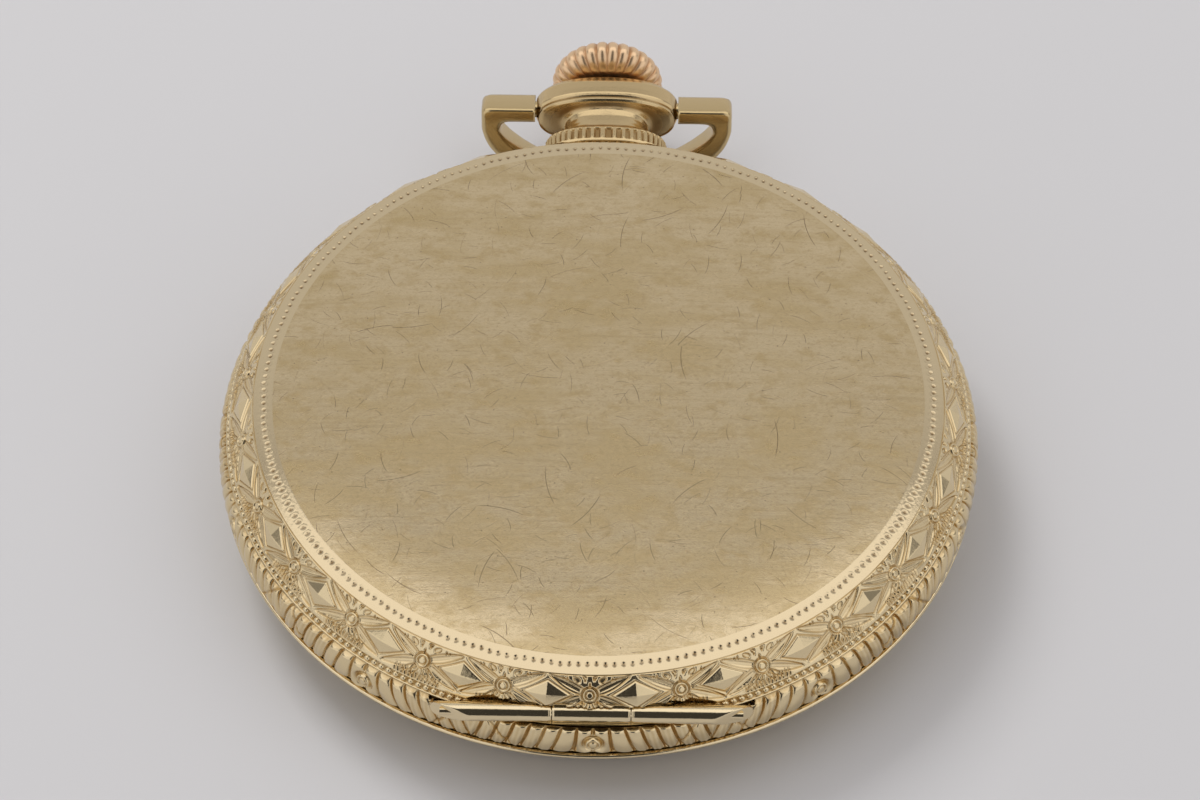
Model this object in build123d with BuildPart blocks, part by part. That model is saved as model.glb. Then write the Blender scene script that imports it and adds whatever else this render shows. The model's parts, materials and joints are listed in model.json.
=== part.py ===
"""Open face pocket watch, twelve size, lying on its crystal with the back uppermost.

Frame: origin at the middle of the crystal's outer face, +Z out of the back cover, +Y towards the
pendant (twelve o'clock), millimetres. The hinge of the back is at six o'clock, on the -Y side.
"""

from math import atan2, cos, degrees, hypot, pi, radians, sin
import os

from build123d import *

os.makedirs("parts", exist_ok=True)

# ---------------------------------------------------------------- driving dimensions
CASE_R = 22.72  # widest radius of the centre band
LIP_R = 22.65  # front bezel's lip
RING_R = 20.0  # punched ring on the back
RING_Z = 9.2
BACK_EDGE_R = 22.3  # milled edge of the back
BACK_TOP_Z = 9.9
BAND_LOW_Z, BAND_HIGH_Z = 3.95, 6.40
COLLAR_R = 21.4  # the collars that the covers snap over
SNAP_GAP = 0.05
PIVOT_Y, PIVOT_Z = 26.8, 5.2  # bow pivots and stem axis
BOW_FOLD = 74.0  # degrees that the resting bow hangs below the case's plane
HINGE_Y, HINGE_Z, HINGE_R = -21.6, 6.75, 0.575
HINGE_HALF, KNUCKLE_HALF = 9.4, 2.3
HINGE_RIM_Y = -20.9  # the cover's rim is cut away outside this line, over the hinge
LID_HINGE_Y, LID_HINGE_Z, LID_HINGE_R = -20.85, 7.25, 0.30
RUN_GAP = 0.03  # radial clearance of pins and pivots
PLATE_R = 19.9
PLATE_LOW_Z, PLATE_HIGH_Z = 2.95, 4.5
BRIDGE_R = 19.0
BRIDGE_LOW_Z, BRIDGE_HIGH_Z = 6.35, 7.35
DIAL_LOW_Z, DIAL_HIGH_Z = 2.6, 2.9

# Wheel centres of the movement, seen from the back
CENTRE = (0.0, 0.0)
BARREL_TEETH, CENTRE_PINION, BARREL_MODULE = 78, 12, 0.18
BARREL_DISTANCE = (BARREL_TEETH + CENTRE_PINION) / 2 * BARREL_MODULE
BARREL = (BARREL_DISTANCE * cos(radians(130)), BARREL_DISTANCE * sin(radians(130)))
CENTRE_TEETH, THIRD_PINION, CENTRE_MODULE = 80, 10, 0.15
THIRD_TEETH, FOURTH_PINION, THIRD_MODULE = 75, 10, 0.13
FOURTH_TEETH, ESCAPE_PINION, FOURTH_MODULE = 80, 8, 0.10
FOURTH = (0.0, -8.6)


def third_centre():
    """Where the third wheel meshes with both its neighbours, on the +X side."""
    to_centre = (CENTRE_TEETH + THIRD_PINION) / 2 * CENTRE_MODULE
    to_fourth = (THIRD_TEETH + FOURTH_PINION) / 2 * THIRD_MODULE
    y = (to_fourth**2 - to_centre**2 - FOURTH[1] ** 2) / (-2 * FOURTH[1])
    return ((to_centre**2 - y**2) ** 0.5, y)


THIRD = third_centre()
ESCAPE_DISTANCE = (FOURTH_TEETH + ESCAPE_PINION) / 2 * FOURTH_MODULE
ESCAPE = (
    FOURTH[0] + ESCAPE_DISTANCE * cos(radians(190)),
    FOURTH[1] + ESCAPE_DISTANCE * sin(radians(190)),
)
BALANCE = (-11.0, -5.2)
LEVER_ANGLE = atan2(BALANCE[1] - ESCAPE[1], BALANCE[0] - ESCAPE[0])
PALLET = (ESCAPE[0] + 3.2 * cos(LEVER_ANGLE), ESCAPE[1] + 3.2 * sin(LEVER_ANGLE))
BALANCE_R = 5.0
COCK_FOOT = (-12.2, -12.3)
CROWN_WHEEL = (0.0, 13.4)
RATCHET_TEETH, CROWN_TEETH, WINDING_TEETH = 52, 30, 15
WINDING_DISTANCE = hypot(CROWN_WHEEL[0] - BARREL[0], CROWN_WHEEL[1] - BARREL[1])
WINDING_MODULE = 2 * WINDING_DISTANCE / (RATCHET_TEETH + CROWN_TEETH)
CONTRATE_R = 2.387
CANNON_TEETH, MINUTE_TEETH, MINUTE_PINION, HOUR_TEETH = 12, 36, 10, 40
MOTION_DISTANCE = 3.12
MINUTE_WORK = (MOTION_DISTANCE * cos(radians(30)), MOTION_DISTANCE * sin(radians(30)))
JEWEL_R, PIVOT_R, ARBOR_R = 0.7, 0.12, 0.25


def save(made, name):
    """Labels a finished piece and writes it as its own node."""
    made.part.label = name
    export_step(made.part, f"parts/{name}.step")


def heading(start, end):
    """Direction from one wheel centre to another, in degrees."""
    return degrees(atan2(end[1] - start[1], end[0] - start[0]))


def across(y):
    """A plane square to the stem at the given Y, centred on the stem's axis."""
    return Plane(origin=(0, y, PIVOT_Z), x_dir=(1, 0, 0), z_dir=(0, 1, 0))


def along_x(x, y, z):
    """A plane square to a hinge axis."""
    return Plane(origin=(x, y, z), x_dir=(0, 1, 0), z_dir=(1, 0, 0))


def toothed(teeth, module, centre, facing, gap=False):
    """A gear's outline, with a tooth (or a gap) on the direction facing, in degrees."""
    pitch_r, step = teeth * module / 2, 2 * pi / teeth
    tip_r, root_r = pitch_r + 0.80 * module, pitch_r - 1.15 * module
    start = radians(facing) + (step / 2 if gap else 0)
    shape = [(root_r, -0.27), (tip_r, -0.11), (tip_r, 0.11), (root_r, 0.27)]
    points = []
    for tooth in range(teeth):
        for radius, share in shape:
            angle = start + (tooth + share) * step
            points.append((centre[0] + radius * cos(angle), centre[1] + radius * sin(angle)))
    return points


def ring_of_windows(centre, inner, outer, spokes, spoke_width):
    """Cuts the windows between a wheel's spokes out of the sketch being built."""
    with BuildSketch(mode=Mode.PRIVATE) as window:
        with Locations(centre):
            Circle(outer)
            Circle(inner, mode=Mode.SUBTRACT)
        for turn in range(spokes):
            angle = 360 / spokes * turn
            away = (
                centre[0] + outer / 2 * cos(radians(angle)),
                centre[1] + outer / 2 * sin(radians(angle)),
            )
            with Locations(Location((away[0], away[1], 0), (0, 0, angle))):
                Rectangle(outer * 1.2, spoke_width, mode=Mode.SUBTRACT)
    add(window.sketch, mode=Mode.SUBTRACT)


def disc(centre, radius, low, high, mode=Mode.ADD):
    """A flat cylinder between two heights."""
    with BuildSketch(Plane.XY.offset(low)) as face:
        with Locations(centre):
            Circle(radius)
    extrude(face.sketch, amount=high - low, mode=mode)


def gear(points, low, high, mode=Mode.ADD):
    """A plain gear between two heights, from its outline."""
    with BuildSketch(Plane.XY.offset(low)) as face:
        with BuildLine():
            Polyline(points, close=True)
        make_face()
    extrude(face.sketch, amount=high - low, mode=mode)


def train_wheel(name, centre, wheel, pinion, wheel_z, pinion_z, arbor_z, pivot_z, spokes=5):
    """A train wheel with its pinion and arbor: wheel and pinion are (teeth, module, facing, gap)."""
    teeth, module, facing, gap = wheel
    pitch_r = teeth * module / 2
    with BuildPart() as made:
        with BuildSketch(Plane.XY.offset(wheel_z[0])):
            with BuildLine():
                Polyline(toothed(teeth, module, centre, facing, gap), close=True)
            make_face()
            ring_of_windows(centre, 1.0, pitch_r - 0.75, spokes, 0.45)
        extrude(amount=wheel_z[1] - wheel_z[0])
        gear(toothed(pinion[0], pinion[1], centre, pinion[2], pinion[3]), *pinion_z)
        disc(centre, ARBOR_R, *arbor_z)
        disc(centre, PIVOT_R, *pivot_z)
    save(made, name)


# ---------------------------------------------------------------- case
def hinge_tube(x_low, x_high, y, z, radius, mode=Mode.ADD):
    """One knuckle's solid tube, or a pin's bore when subtracted."""
    with BuildSketch(along_x(x_low, y, z)) as face:
        Circle(radius)
    extrude(face.sketch, amount=x_high - x_low, mode=mode)


def block(x_low, x_high, y_low, y_high, z_low, z_high, mode=Mode.ADD):
    """A box given by its limits."""
    middle = ((x_low + x_high) / 2, (y_low + y_high) / 2, (z_low + z_high) / 2)
    with Locations(middle):
        Box(x_high - x_low, y_high - y_low, z_high - z_low, mode=mode)


def trimmed_knuckles(outer_limit_r, low_z, high_z):
    """The band's two long knuckles with the seats below them, cut round to the case's line."""
    with BuildPart(mode=Mode.PRIVATE) as knuckles:
        for side in (-1, 1):
            ends = sorted((side * (KNUCKLE_HALF + RUN_GAP), side * HINGE_HALF))
            hinge_tube(*ends, HINGE_Y, HINGE_Z, HINGE_R)
            block(*ends, HINGE_Y - HINGE_R, HINGE_Y + HINGE_R, low_z, HINGE_Z)
        with BuildSketch(Plane.XY.offset(low_z)):
            Circle(outer_limit_r)
        extrude(amount=high_z - low_z, mode=Mode.INTERSECT)
    return knuckles.part


with BuildPart() as centre_band:
    with BuildSketch(Plane.XZ):
        with BuildLine():
            Polyline(
                (22.45, BAND_LOW_Z),
                (COLLAR_R, BAND_LOW_Z),
                (COLLAR_R, 3.30),
                (20.0, 3.30),
                (20.0, 4.55),
                (19.3, 4.55),
                (19.3, 5.05),
                (20.3, 5.05),
                (20.3, 6.90),
                (COLLAR_R, 6.90),
                (COLLAR_R, BAND_HIGH_Z),
                (22.25, BAND_HIGH_Z),
            )
            ThreePointArc((22.25, BAND_HIGH_Z), (CASE_R, 5.1), (22.45, BAND_LOW_Z))
        make_face()
    revolve(axis=Axis.Z)
    # pocket for the centre knuckle, then the two long knuckles
    hinge_tube(-KNUCKLE_HALF, KNUCKLE_HALF, HINGE_Y, HINGE_Z, HINGE_R + 0.12, mode=Mode.SUBTRACT)
    block(-KNUCKLE_HALF, KNUCKLE_HALF, -23.5, HINGE_Y, 6.1, 8.0, mode=Mode.SUBTRACT)
    add(trimmed_knuckles(23.3, 5.9, 7.4))
    hinge_tube(-HINGE_HALF, HINGE_HALF, HINGE_Y, HINGE_Z, 0.25 + RUN_GAP, mode=Mode.SUBTRACT)
    # ears of the inner lid's hinge
    for side in (-1, 1):
        ear = sorted((side * 1.0, side * 2.4))
        hinge_tube(*ear, LID_HINGE_Y, LID_HINGE_Z, LID_HINGE_R)
        block(*ear, LID_HINGE_Y - 0.15, LID_HINGE_Y + 0.15, 6.7, LID_HINGE_Z)
    hinge_tube(-2.4, 2.4, LID_HINGE_Y, LID_HINGE_Z, 0.12 + RUN_GAP, mode=Mode.SUBTRACT)
    # way for the stem, and the flat that the pendant stands on
    with BuildSketch(across(18.5)):
        Circle(0.75)
    extrude(amount=6, mode=Mode.SUBTRACT)
    block(-1.6, 1.6, 18.5, 20.31, 4.3, 6.95, mode=Mode.SUBTRACT)
save(centre_band, "centre_band")

with BuildPart() as back_cover:
    with BuildSketch(Plane.XZ):
        with BuildLine():
            Spline((0, BACK_TOP_Z), (13.0, 9.72), (19.5, 9.34), tangents=[(1, 0), (1, -0.13)])
            Polyline((19.5, 9.34), (RING_R + 0.64, 9.06))
            ThreePointArc((RING_R + 0.64, 9.06), (21.6, 7.98), (BACK_EDGE_R, 6.75))
            Polyline(
                (BACK_EDGE_R, 6.75),
                (BACK_EDGE_R, 6.45),
                (COLLAR_R + SNAP_GAP, 6.45),
                (COLLAR_R + SNAP_GAP, 6.95),
            )
            ThreePointArc((COLLAR_R + SNAP_GAP, 6.95), (21.05, 7.85), (20.35, 8.60))
            Polyline((20.35, 8.60), (19.3, 8.88))
            Spline((19.3, 8.88), (13.0, 9.24), (0, 9.42), tangents=[(-1, 0.13), (-1, 0)])
            Polyline((0, 9.42), (0, BACK_TOP_Z))
        make_face()
    revolve(axis=Axis.Z)
    # the rim is cut away over the hinge, and the centre knuckle hangs from a leaf
    block(-HINGE_HALF - 0.25, HINGE_HALF + 0.25, -23.5, HINGE_RIM_Y, 6.0, 7.45, mode=Mode.SUBTRACT)
    block(-KNUCKLE_HALF + 0.1, KNUCKLE_HALF - 0.1, -21.65, -21.3, HINGE_Z, 7.62)
    hinge_tube(-KNUCKLE_HALF + RUN_GAP, KNUCKLE_HALF - RUN_GAP, HINGE_Y, HINGE_Z, HINGE_R)
    hinge_tube(-KNUCKLE_HALF, KNUCKLE_HALF, HINGE_Y, HINGE_Z, 0.25 + RUN_GAP, mode=Mode.SUBTRACT)
save(back_cover, "back_cover")

with BuildPart() as back_hinge_pin:
    hinge_tube(-HINGE_HALF + 0.6, HINGE_HALF - 0.6, HINGE_Y, HINGE_Z, 0.25)
save(back_hinge_pin, "back_hinge_pin")

with BuildPart() as cuvette:
    with BuildSketch(Plane.XZ):
        with BuildLine():
            Polyline((0, 8.15), (0, 8.45), (19.3, 8.45))
            ThreePointArc((19.3, 8.45), (20.43, 8.13), (20.9, 7.4))
            Polyline((20.9, 7.4), (20.9, 6.97), (20.5, 6.97), (20.5, 7.35))
            ThreePointArc((20.5, 7.35), (20.15, 7.9), (19.2, 8.15))
            Polyline((19.2, 8.15), (0, 8.15))
        make_face()
    revolve(axis=Axis.Z)
    # notch round the ears of its hinge, its knuckle, and a thumb nick opposite
    block(-2.55, 2.55, -21.5, -20.3, 6.5, 7.75, mode=Mode.SUBTRACT)
    block(-0.9, 0.9, -20.85, -20.3, LID_HINGE_Z, 7.9)
    hinge_tube(-0.95, 0.95, LID_HINGE_Y, LID_HINGE_Z, LID_HINGE_R)
    hinge_tube(-2.6, 2.6, LID_HINGE_Y, LID_HINGE_Z, 0.12 + RUN_GAP, mode=Mode.SUBTRACT)
    with Locations((0, 21.6, 7.0)):
        Cylinder(1.6, 0.5, mode=Mode.SUBTRACT)
save(cuvette, "cuvette")

with BuildPart() as cuvette_hinge_pin:
    hinge_tube(-2.4, 2.4, LID_HINGE_Y, LID_HINGE_Z, 0.12)
save(cuvette_hinge_pin, "cuvette_hinge_pin")

with BuildPart() as front_bezel:
    with BuildSketch(Plane.XZ):
        with BuildLine():
            Polyline((LIP_R, 3.55), (21.1, 1.75))
            ThreePointArc((21.1, 1.75), (20.45, 0.85), (19.75, 0.3))
            Polyline(
                (19.75, 0.3),
                (19.05, 0.3),
                (19.05, 0.6),
                (19.45, 0.6),
                (19.45, 1.45),
                (19.05, 1.45),
                (19.05, 2.5),
                (20.0, 2.5),
                (20.0, 3.2),
                (COLLAR_R + SNAP_GAP, 3.2),
                (COLLAR_R + SNAP_GAP, BAND_LOW_Z - 0.05),
                (LIP_R, BAND_LOW_Z - 0.05),
                (LIP_R, 3.55),
            )
        make_face()
    revolve(axis=Axis.Z)
save(front_bezel, "front_bezel")

with BuildPart() as crystal:
    with BuildSketch(Plane.XZ):
        with BuildLine():
            Polyline(
                (0, 0),
                (18.4, 0),
                (18.95, 0.65),
                (19.4, 0.65),
                (19.4, 1.4),
                (0, 1.4),
                close=True,
            )
        make_face()
    revolve(axis=Axis.Z)
save(crystal, "crystal")

# ---------------------------------------------------------------- pendant, bow and crown
PENDANT_SECTIONS = [  # distance out along Y, half width, half thickness of the oval
    (22.78, 3.55, 1.50),
    (23.05, 3.75, 1.68),
    (23.95, 3.75, 1.68),
    (24.25, 2.65, 1.60),
    (25.30, 2.45, 1.60),
    (25.75, 4.05, 2.05),
    (26.10, 4.42, 2.20),
    (27.45, 4.42, 2.20),
    (27.88, 3.70, 1.95),
]
with BuildPart() as pendant:
    for (y_low, *low), (y_high, *high) in zip(PENDANT_SECTIONS, PENDANT_SECTIONS[1:]):
        with BuildSketch(across(y_low)):
            Ellipse(*low)
        with BuildSketch(across(y_high)):
            Ellipse(*high)
        loft()
    with BuildSketch(across(22.78)):
        Circle(1.1)
    extrude(amount=5.2, mode=Mode.SUBTRACT)
    # sockets for the ends of the bow
    hinge_tube(-4.6, -3.2, PIVOT_Y, PIVOT_Z, 0.50 + RUN_GAP, mode=Mode.SUBTRACT)
    hinge_tube(3.2, 4.6, PIVOT_Y, PIVOT_Z, 0.50 + RUN_GAP, mode=Mode.SUBTRACT)
save(pendant, "pendant")

with BuildPart() as pendant_sleeve:
    with BuildSketch(across(22.8)):
        Circle(1.08)
        Circle(0.66, mode=Mode.SUBTRACT)
    extrude(amount=5.1)
save(pendant_sleeve, "pendant_sleeve")

bow_plane = Plane(
    origin=(0, PIVOT_Y, PIVOT_Z),
    x_dir=(1, 0, 0),
    z_dir=(0, sin(radians(BOW_FOLD)), -cos(radians(BOW_FOLD))),
)
BOW_HALF_THICK, BOW_BEVEL = 1.0, 0.22
BOW_FOOT = 4.6  # where the bow's arms start, just outside the pendant's head


def bow_section(height, inset):
    """The bow's outline, drawn in by a bevel, at a height above its middle plane."""
    out, base, arm = 7.85 - inset, inset - 0.58, 0.47 - inset
    with BuildSketch(bow_plane.offset(height)) as section:
        with BuildLine():
            for side in (-1, 1):
                Polyline((side * BOW_FOOT, arm), (side * BOW_FOOT, base), (side * 7.45, base))
                ThreePointArc(
                    (side * 7.45, base), (side * (out - 0.12), base + 0.12), (side * out, base + 0.4)
                )
                Line((side * out, base + 0.4), (side * out, 0.9))
                Line((side * BOW_FOOT, arm), (side * (6.1 + inset), arm))
                ThreePointArc(
                    (side * (6.1 + inset), arm), (side * (6.55 + inset), 0.68), (side * (6.65 + inset), 1.15)
                )
            ThreePointArc((-out, 0.9), (inset - 7.3, 2.5), (inset - 5.9, 3.75))
            ThreePointArc((inset - 5.9, 3.75), (0, 5.08 - inset), (5.9 - inset, 3.75))
            ThreePointArc((5.9 - inset, 3.75), (7.3 - inset, 2.5), (out, 0.9))
            ThreePointArc((-6.65 - inset, 1.15), (-6.1 - inset, 1.95), (-5.1 - inset, 2.75))
            ThreePointArc((-5.1 - inset, 2.75), (0, 4.36 + inset), (5.1 + inset, 2.75))
            ThreePointArc((5.1 + inset, 2.75), (6.1 + inset, 1.95), (6.65 + inset, 1.15))
        make_face()
    return section.sketch


with BuildPart() as bow:
    FLAT = BOW_HALF_THICK - BOW_BEVEL
    extrude(bow_section(0, 0), amount=FLAT, both=True)
    for side in (-1, 1):
        loft([bow_section(side * FLAT, 0), bow_section(side * BOW_HALF_THICK, BOW_BEVEL)])
    hinge_tube(-BOW_FOOT, -3.35, PIVOT_Y, PIVOT_Z, 0.5)
    hinge_tube(3.35, BOW_FOOT, PIVOT_Y, PIVOT_Z, 0.5)
save(bow, "bow")

CROWN_R, FLUTES = 3.42, 28
with BuildPart() as crown:
    with BuildSketch(Plane(origin=(0, 0, PIVOT_Z), x_dir=(1, 0, 0), z_dir=(0, 0, 1))):
        with BuildLine():
            Polyline((0, 28.1), (2.0, 28.1))
            ThreePointArc((2.0, 28.1), (CROWN_R, 29.05), (2.4, 30.05))
            Spline((2.4, 30.05), (1.3, 30.45), (0, 30.6), tangents=[(-1, 0.5), (-1, 0)])
            Line((0, 30.6), (0, 28.1))
        make_face()
    revolve(axis=Axis((0, 0, PIVOT_Z), (0, 1, 0)))
    with BuildSketch(across(28.3)):
        with PolarLocations(CROWN_R + 0.02, FLUTES):
            Circle(0.17)
    extrude(amount=1.5, mode=Mode.SUBTRACT)
    with BuildSketch(across(28.0)):
        Circle(0.6)
    extrude(amount=1.4, mode=Mode.SUBTRACT)
save(crown, "crown")

with BuildPart() as stem:
    with BuildSketch(across(19.0)):
        Circle(0.58)
    extrude(amount=10.4)
    with BuildSketch(across(16.4)):
        Rectangle(0.62, 0.62)
    extrude(amount=2.6)
save(stem, "stem")

# ---------------------------------------------------------------- main plate, dial and bridges
SCREW_R, SCREW_HEAD_R = 0.35, 0.75
BRIDGE_SCREWS = [(-14.5, 9.6), (13.6, 11.0), (4.5, 17.0), (16.6, -6.3), (2.6, -16.8), COCK_FOOT]
FEET = [(16.5, 6.6), (-16.5, 6.6), (4.0, -16.4)]
SHORT_PIVOTS = [THIRD, FOURTH, ESCAPE]
CASE_SCREWS = [(18.6 * cos(radians(a)), 18.6 * sin(radians(a))) for a in (10, 250)]


def bridge_holes(screws, pivots):
    """Sunk screw holes, jewelled pivot holes and notches for the case screws of a bridge."""
    for place in CASE_SCREWS:
        disc(place, 1.35, 4.0, 8.0, mode=Mode.SUBTRACT)
    for place in screws:
        disc(place, SCREW_R + 0.04, 4.5, 8.0, mode=Mode.SUBTRACT)
        disc(place, SCREW_HEAD_R + 0.05, BRIDGE_HIGH_Z - 0.35, 8.0, mode=Mode.SUBTRACT)
    for place in pivots:
        disc(place, ARBOR_R + 0.1, 4.5, 8.0, mode=Mode.SUBTRACT)
        disc(place, JEWEL_R + 0.02, BRIDGE_HIGH_Z - 0.35, 8.0, mode=Mode.SUBTRACT)


with BuildPart() as main_plate:
    disc(CENTRE, PLATE_R, PLATE_LOW_Z, PLATE_HIGH_Z)
    disc(CENTRE, 5.75, PLATE_LOW_Z - 0.1, 3.8, mode=Mode.SUBTRACT)  # motion work
    disc(BALANCE, 5.5, 4.1, PLATE_HIGH_Z + 0.1, mode=Mode.SUBTRACT)
    block(-1.6, 1.6, 14.6, 20.1, 3.7, 4.6, mode=Mode.SUBTRACT)  # winding work
    disc(CENTRE, 0.42, PLATE_LOW_Z, 5.0, mode=Mode.SUBTRACT)
    disc(FOURTH, 0.33, PLATE_LOW_Z, 5.0, mode=Mode.SUBTRACT)
    for place in (BARREL, THIRD, ESCAPE, PALLET, BALANCE, MINUTE_WORK):
        disc(place, PIVOT_R + 0.03, PLATE_LOW_Z, 5.0, mode=Mode.SUBTRACT)
    for place in BRIDGE_SCREWS + CASE_SCREWS:
        disc(place, SCREW_R + 0.02, 3.4, 5.0, mode=Mode.SUBTRACT)
    for place in FEET:
        disc(place, 0.43, PLATE_LOW_Z - 0.1, 4.1, mode=Mode.SUBTRACT)
save(main_plate, "main_plate")

with BuildPart() as dial:
    disc(CENTRE, 19.5, DIAL_LOW_Z, DIAL_HIGH_Z)
    disc(CENTRE, 1.15, DIAL_LOW_Z - 0.1, DIAL_HIGH_Z + 0.1, mode=Mode.SUBTRACT)
    disc(FOURTH, 0.35, DIAL_LOW_Z - 0.1, DIAL_HIGH_Z + 0.1, mode=Mode.SUBTRACT)
    disc(FOURTH, 4.3, DIAL_LOW_Z - 0.1, DIAL_LOW_Z + 0.1, mode=Mode.SUBTRACT)
    for place in FEET:
        disc(place, 0.4, DIAL_HIGH_Z, 4.0)
save(dial, "dial")

SPLIT_Y = 1.4  # the line between the barrel bridge and the train bridge
with BuildPart() as barrel_bridge:
    disc(CENTRE, BRIDGE_R, BRIDGE_LOW_Z, BRIDGE_HIGH_Z)
    with BuildSketch(Plane.XY.offset(PLATE_HIGH_Z)):
        Circle(BRIDGE_R)
        Circle(17.0, mode=Mode.SUBTRACT)
    extrude(amount=BRIDGE_LOW_Z - PLATE_HIGH_Z)
    block(-20, 20, -20, SPLIT_Y, 4, 8, mode=Mode.SUBTRACT)
    block(-1.6, 1.6, 16.3, 20, 4, 6.65, mode=Mode.SUBTRACT)
    disc(CROWN_WHEEL, 3.0, 6, 8, mode=Mode.SUBTRACT)
    disc(BARREL, 1.2, 6, 8, mode=Mode.SUBTRACT)
    bridge_holes(BRIDGE_SCREWS[:3], [])
save(barrel_bridge, "barrel_bridge")

with BuildPart() as train_bridge:
    disc(CENTRE, BRIDGE_R, BRIDGE_LOW_Z, BRIDGE_HIGH_Z)
    with BuildSketch(Plane.XY.offset(PLATE_HIGH_Z)):
        Circle(BRIDGE_R)
        Circle(16.0, mode=Mode.SUBTRACT)
    extrude(amount=BRIDGE_LOW_Z - PLATE_HIGH_Z)
    block(-20, 20, SPLIT_Y - 0.2, 20, 4, 8, mode=Mode.SUBTRACT)
    disc(BALANCE, 5.75, 4, 8, mode=Mode.SUBTRACT)
    block(-20, -6.4, -20, 1.3, 4, 8, mode=Mode.SUBTRACT)
    block(-20, -5.2, -5.2, 1.3, 4, 8, mode=Mode.SUBTRACT)
    bridge_holes(BRIDGE_SCREWS[3:5], [CENTRE, *SHORT_PIVOTS])
save(train_bridge, "train_bridge")

COCK_LOW_Z, COCK_HIGH_Z = 6.95, 7.55
with BuildPart() as balance_cock:
    with BuildSketch(Plane.XY.offset(COCK_LOW_Z)):
        with Locations(COCK_FOOT):
            Circle(1.45)
        with Locations(BALANCE):
            Circle(1.6)
        with BuildLine():
            Polyline(
                (COCK_FOOT[0] - 1.4, COCK_FOOT[1]),
                (COCK_FOOT[0] + 1.4, COCK_FOOT[1]),
                (BALANCE[0] + 1.5, BALANCE[1]),
                (BALANCE[0] - 1.5, BALANCE[1]),
                close=True,
            )
        make_face()
    extrude(amount=COCK_HIGH_Z - COCK_LOW_Z)
    disc(COCK_FOOT, 1.45, PLATE_HIGH_Z, COCK_LOW_Z)
    disc(COCK_FOOT, SCREW_R + 0.04, 4, 8, mode=Mode.SUBTRACT)
    disc(COCK_FOOT, SCREW_HEAD_R + 0.05, COCK_HIGH_Z - 0.35, 8, mode=Mode.SUBTRACT)
    disc(BALANCE, 0.3, 6, 8, mode=Mode.SUBTRACT)
    disc(BALANCE, JEWEL_R + 0.02, COCK_HIGH_Z - 0.3, 8, mode=Mode.SUBTRACT)
save(balance_cock, "balance_cock")

with BuildPart() as pallet_bridge:
    side_x, side_y = cos(LEVER_ANGLE + pi / 2), sin(LEVER_ANGLE + pi / 2)
    reach = 3.0
    with BuildSketch(Plane.XY.offset(5.6)):
        with Locations(Location((PALLET[0], PALLET[1], 0), (0, 0, degrees(LEVER_ANGLE) + 90))):
            SlotCenterToCenter(2 * reach, 1.3)
    extrude(amount=0.28)
    for side in (-1, 1):
        foot = (PALLET[0] + side * reach * side_x, PALLET[1] + side * reach * side_y)
        disc(foot, 0.6, 4.1 if side < 0 else PLATE_HIGH_Z, 5.6)
    disc(PALLET, PIVOT_R + 0.03, 5, 6, mode=Mode.SUBTRACT)
    block(-20, 20, -20, 20, 3.0, PLATE_HIGH_Z, mode=Mode.SUBTRACT)
save(pallet_bridge, "pallet_bridge")

with BuildPart() as jewels:
    for place in [CENTRE, *SHORT_PIVOTS]:
        disc(place, JEWEL_R, BRIDGE_HIGH_Z - 0.33, BRIDGE_HIGH_Z - 0.03)
        disc(place, PIVOT_R + 0.03, 7.0, 8.0, mode=Mode.SUBTRACT)
    disc(BALANCE, JEWEL_R, COCK_HIGH_Z - 0.28, COCK_HIGH_Z)
save(jewels, "jewels")


def screw(place, head_low, head_high, shank_low):
    """A slotted cheese-head screw."""
    disc(place, SCREW_HEAD_R, head_low, head_high)
    disc(place, SCREW_R, shank_low, head_low)
    with Locations(Location((place[0], place[1], head_high), (0, 0, 30 * place[0]))):
        Box(2.0, 0.18, 0.3, mode=Mode.SUBTRACT)


with BuildPart() as bridge_screws:
    for place in BRIDGE_SCREWS[:5]:
        screw(place, BRIDGE_HIGH_Z - 0.33, BRIDGE_HIGH_Z, 3.45)
    screw(COCK_FOOT, COCK_HIGH_Z - 0.33, COCK_HIGH_Z, 3.45)
save(bridge_screws, "bridge_screws")

with BuildPart() as case_screws:
    for place in CASE_SCREWS:
        with BuildSketch(Plane.XY.offset(5.08)):
            with Locations(place):
                Circle(1.2)
            Circle(20.1, mode=Mode.INTERSECT)
        extrude(amount=0.3)
        disc(place, 0.33, 3.45, 5.08)
        with Locations((place[0], place[1], 5.4)):
            Box(2.6, 0.2, 0.3, mode=Mode.SUBTRACT)
save(case_screws, "case_screws")

# ---------------------------------------------------------------- going train
def spiral(centre, r_start, r_end, turns, thick, start_angle, per_turn):
    """Closed outline of a flat spiral strip, as points."""
    count = int(turns * per_turn)
    inner, outer = [], []
    for i in range(count + 1):
        share = i / count
        radius = r_start + (r_end - r_start) * share
        angle = start_angle + 2 * pi * turns * share
        for side, half in ((inner, -thick / 2), (outer, thick / 2)):
            side.append(
                (
                    centre[0] + (radius + half) * cos(angle),
                    centre[1] + (radius + half) * sin(angle),
                )
            )
    return inner + outer[::-1]


BARREL_LOW_Z, BARREL_HIGH_Z = 4.6, 6.0
with BuildPart() as barrel:
    gear(
        toothed(BARREL_TEETH, BARREL_MODULE, BARREL, heading(BARREL, CENTRE)),
        BARREL_LOW_Z,
        5.0,
    )
    disc(BARREL, 6.6, 5.0, BARREL_HIGH_Z - 0.12)
    disc(BARREL, 6.35, 4.8, BARREL_HIGH_Z, mode=Mode.SUBTRACT)
    disc(BARREL, 0.6, 4.0, 5.0, mode=Mode.SUBTRACT)
save(barrel, "barrel")

with BuildPart() as barrel_cover:
    disc(BARREL, 6.6, BARREL_HIGH_Z - 0.12, BARREL_HIGH_Z)
    disc(BARREL, 0.75, 5.0, 7.0, mode=Mode.SUBTRACT)
save(barrel_cover, "barrel_cover")

with BuildPart() as mainspring:
    gear(spiral(BARREL, 1.15, 6.2, 7, 0.16, 0, 30), 4.9, 5.8)
save(mainspring, "mainspring")

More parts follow.
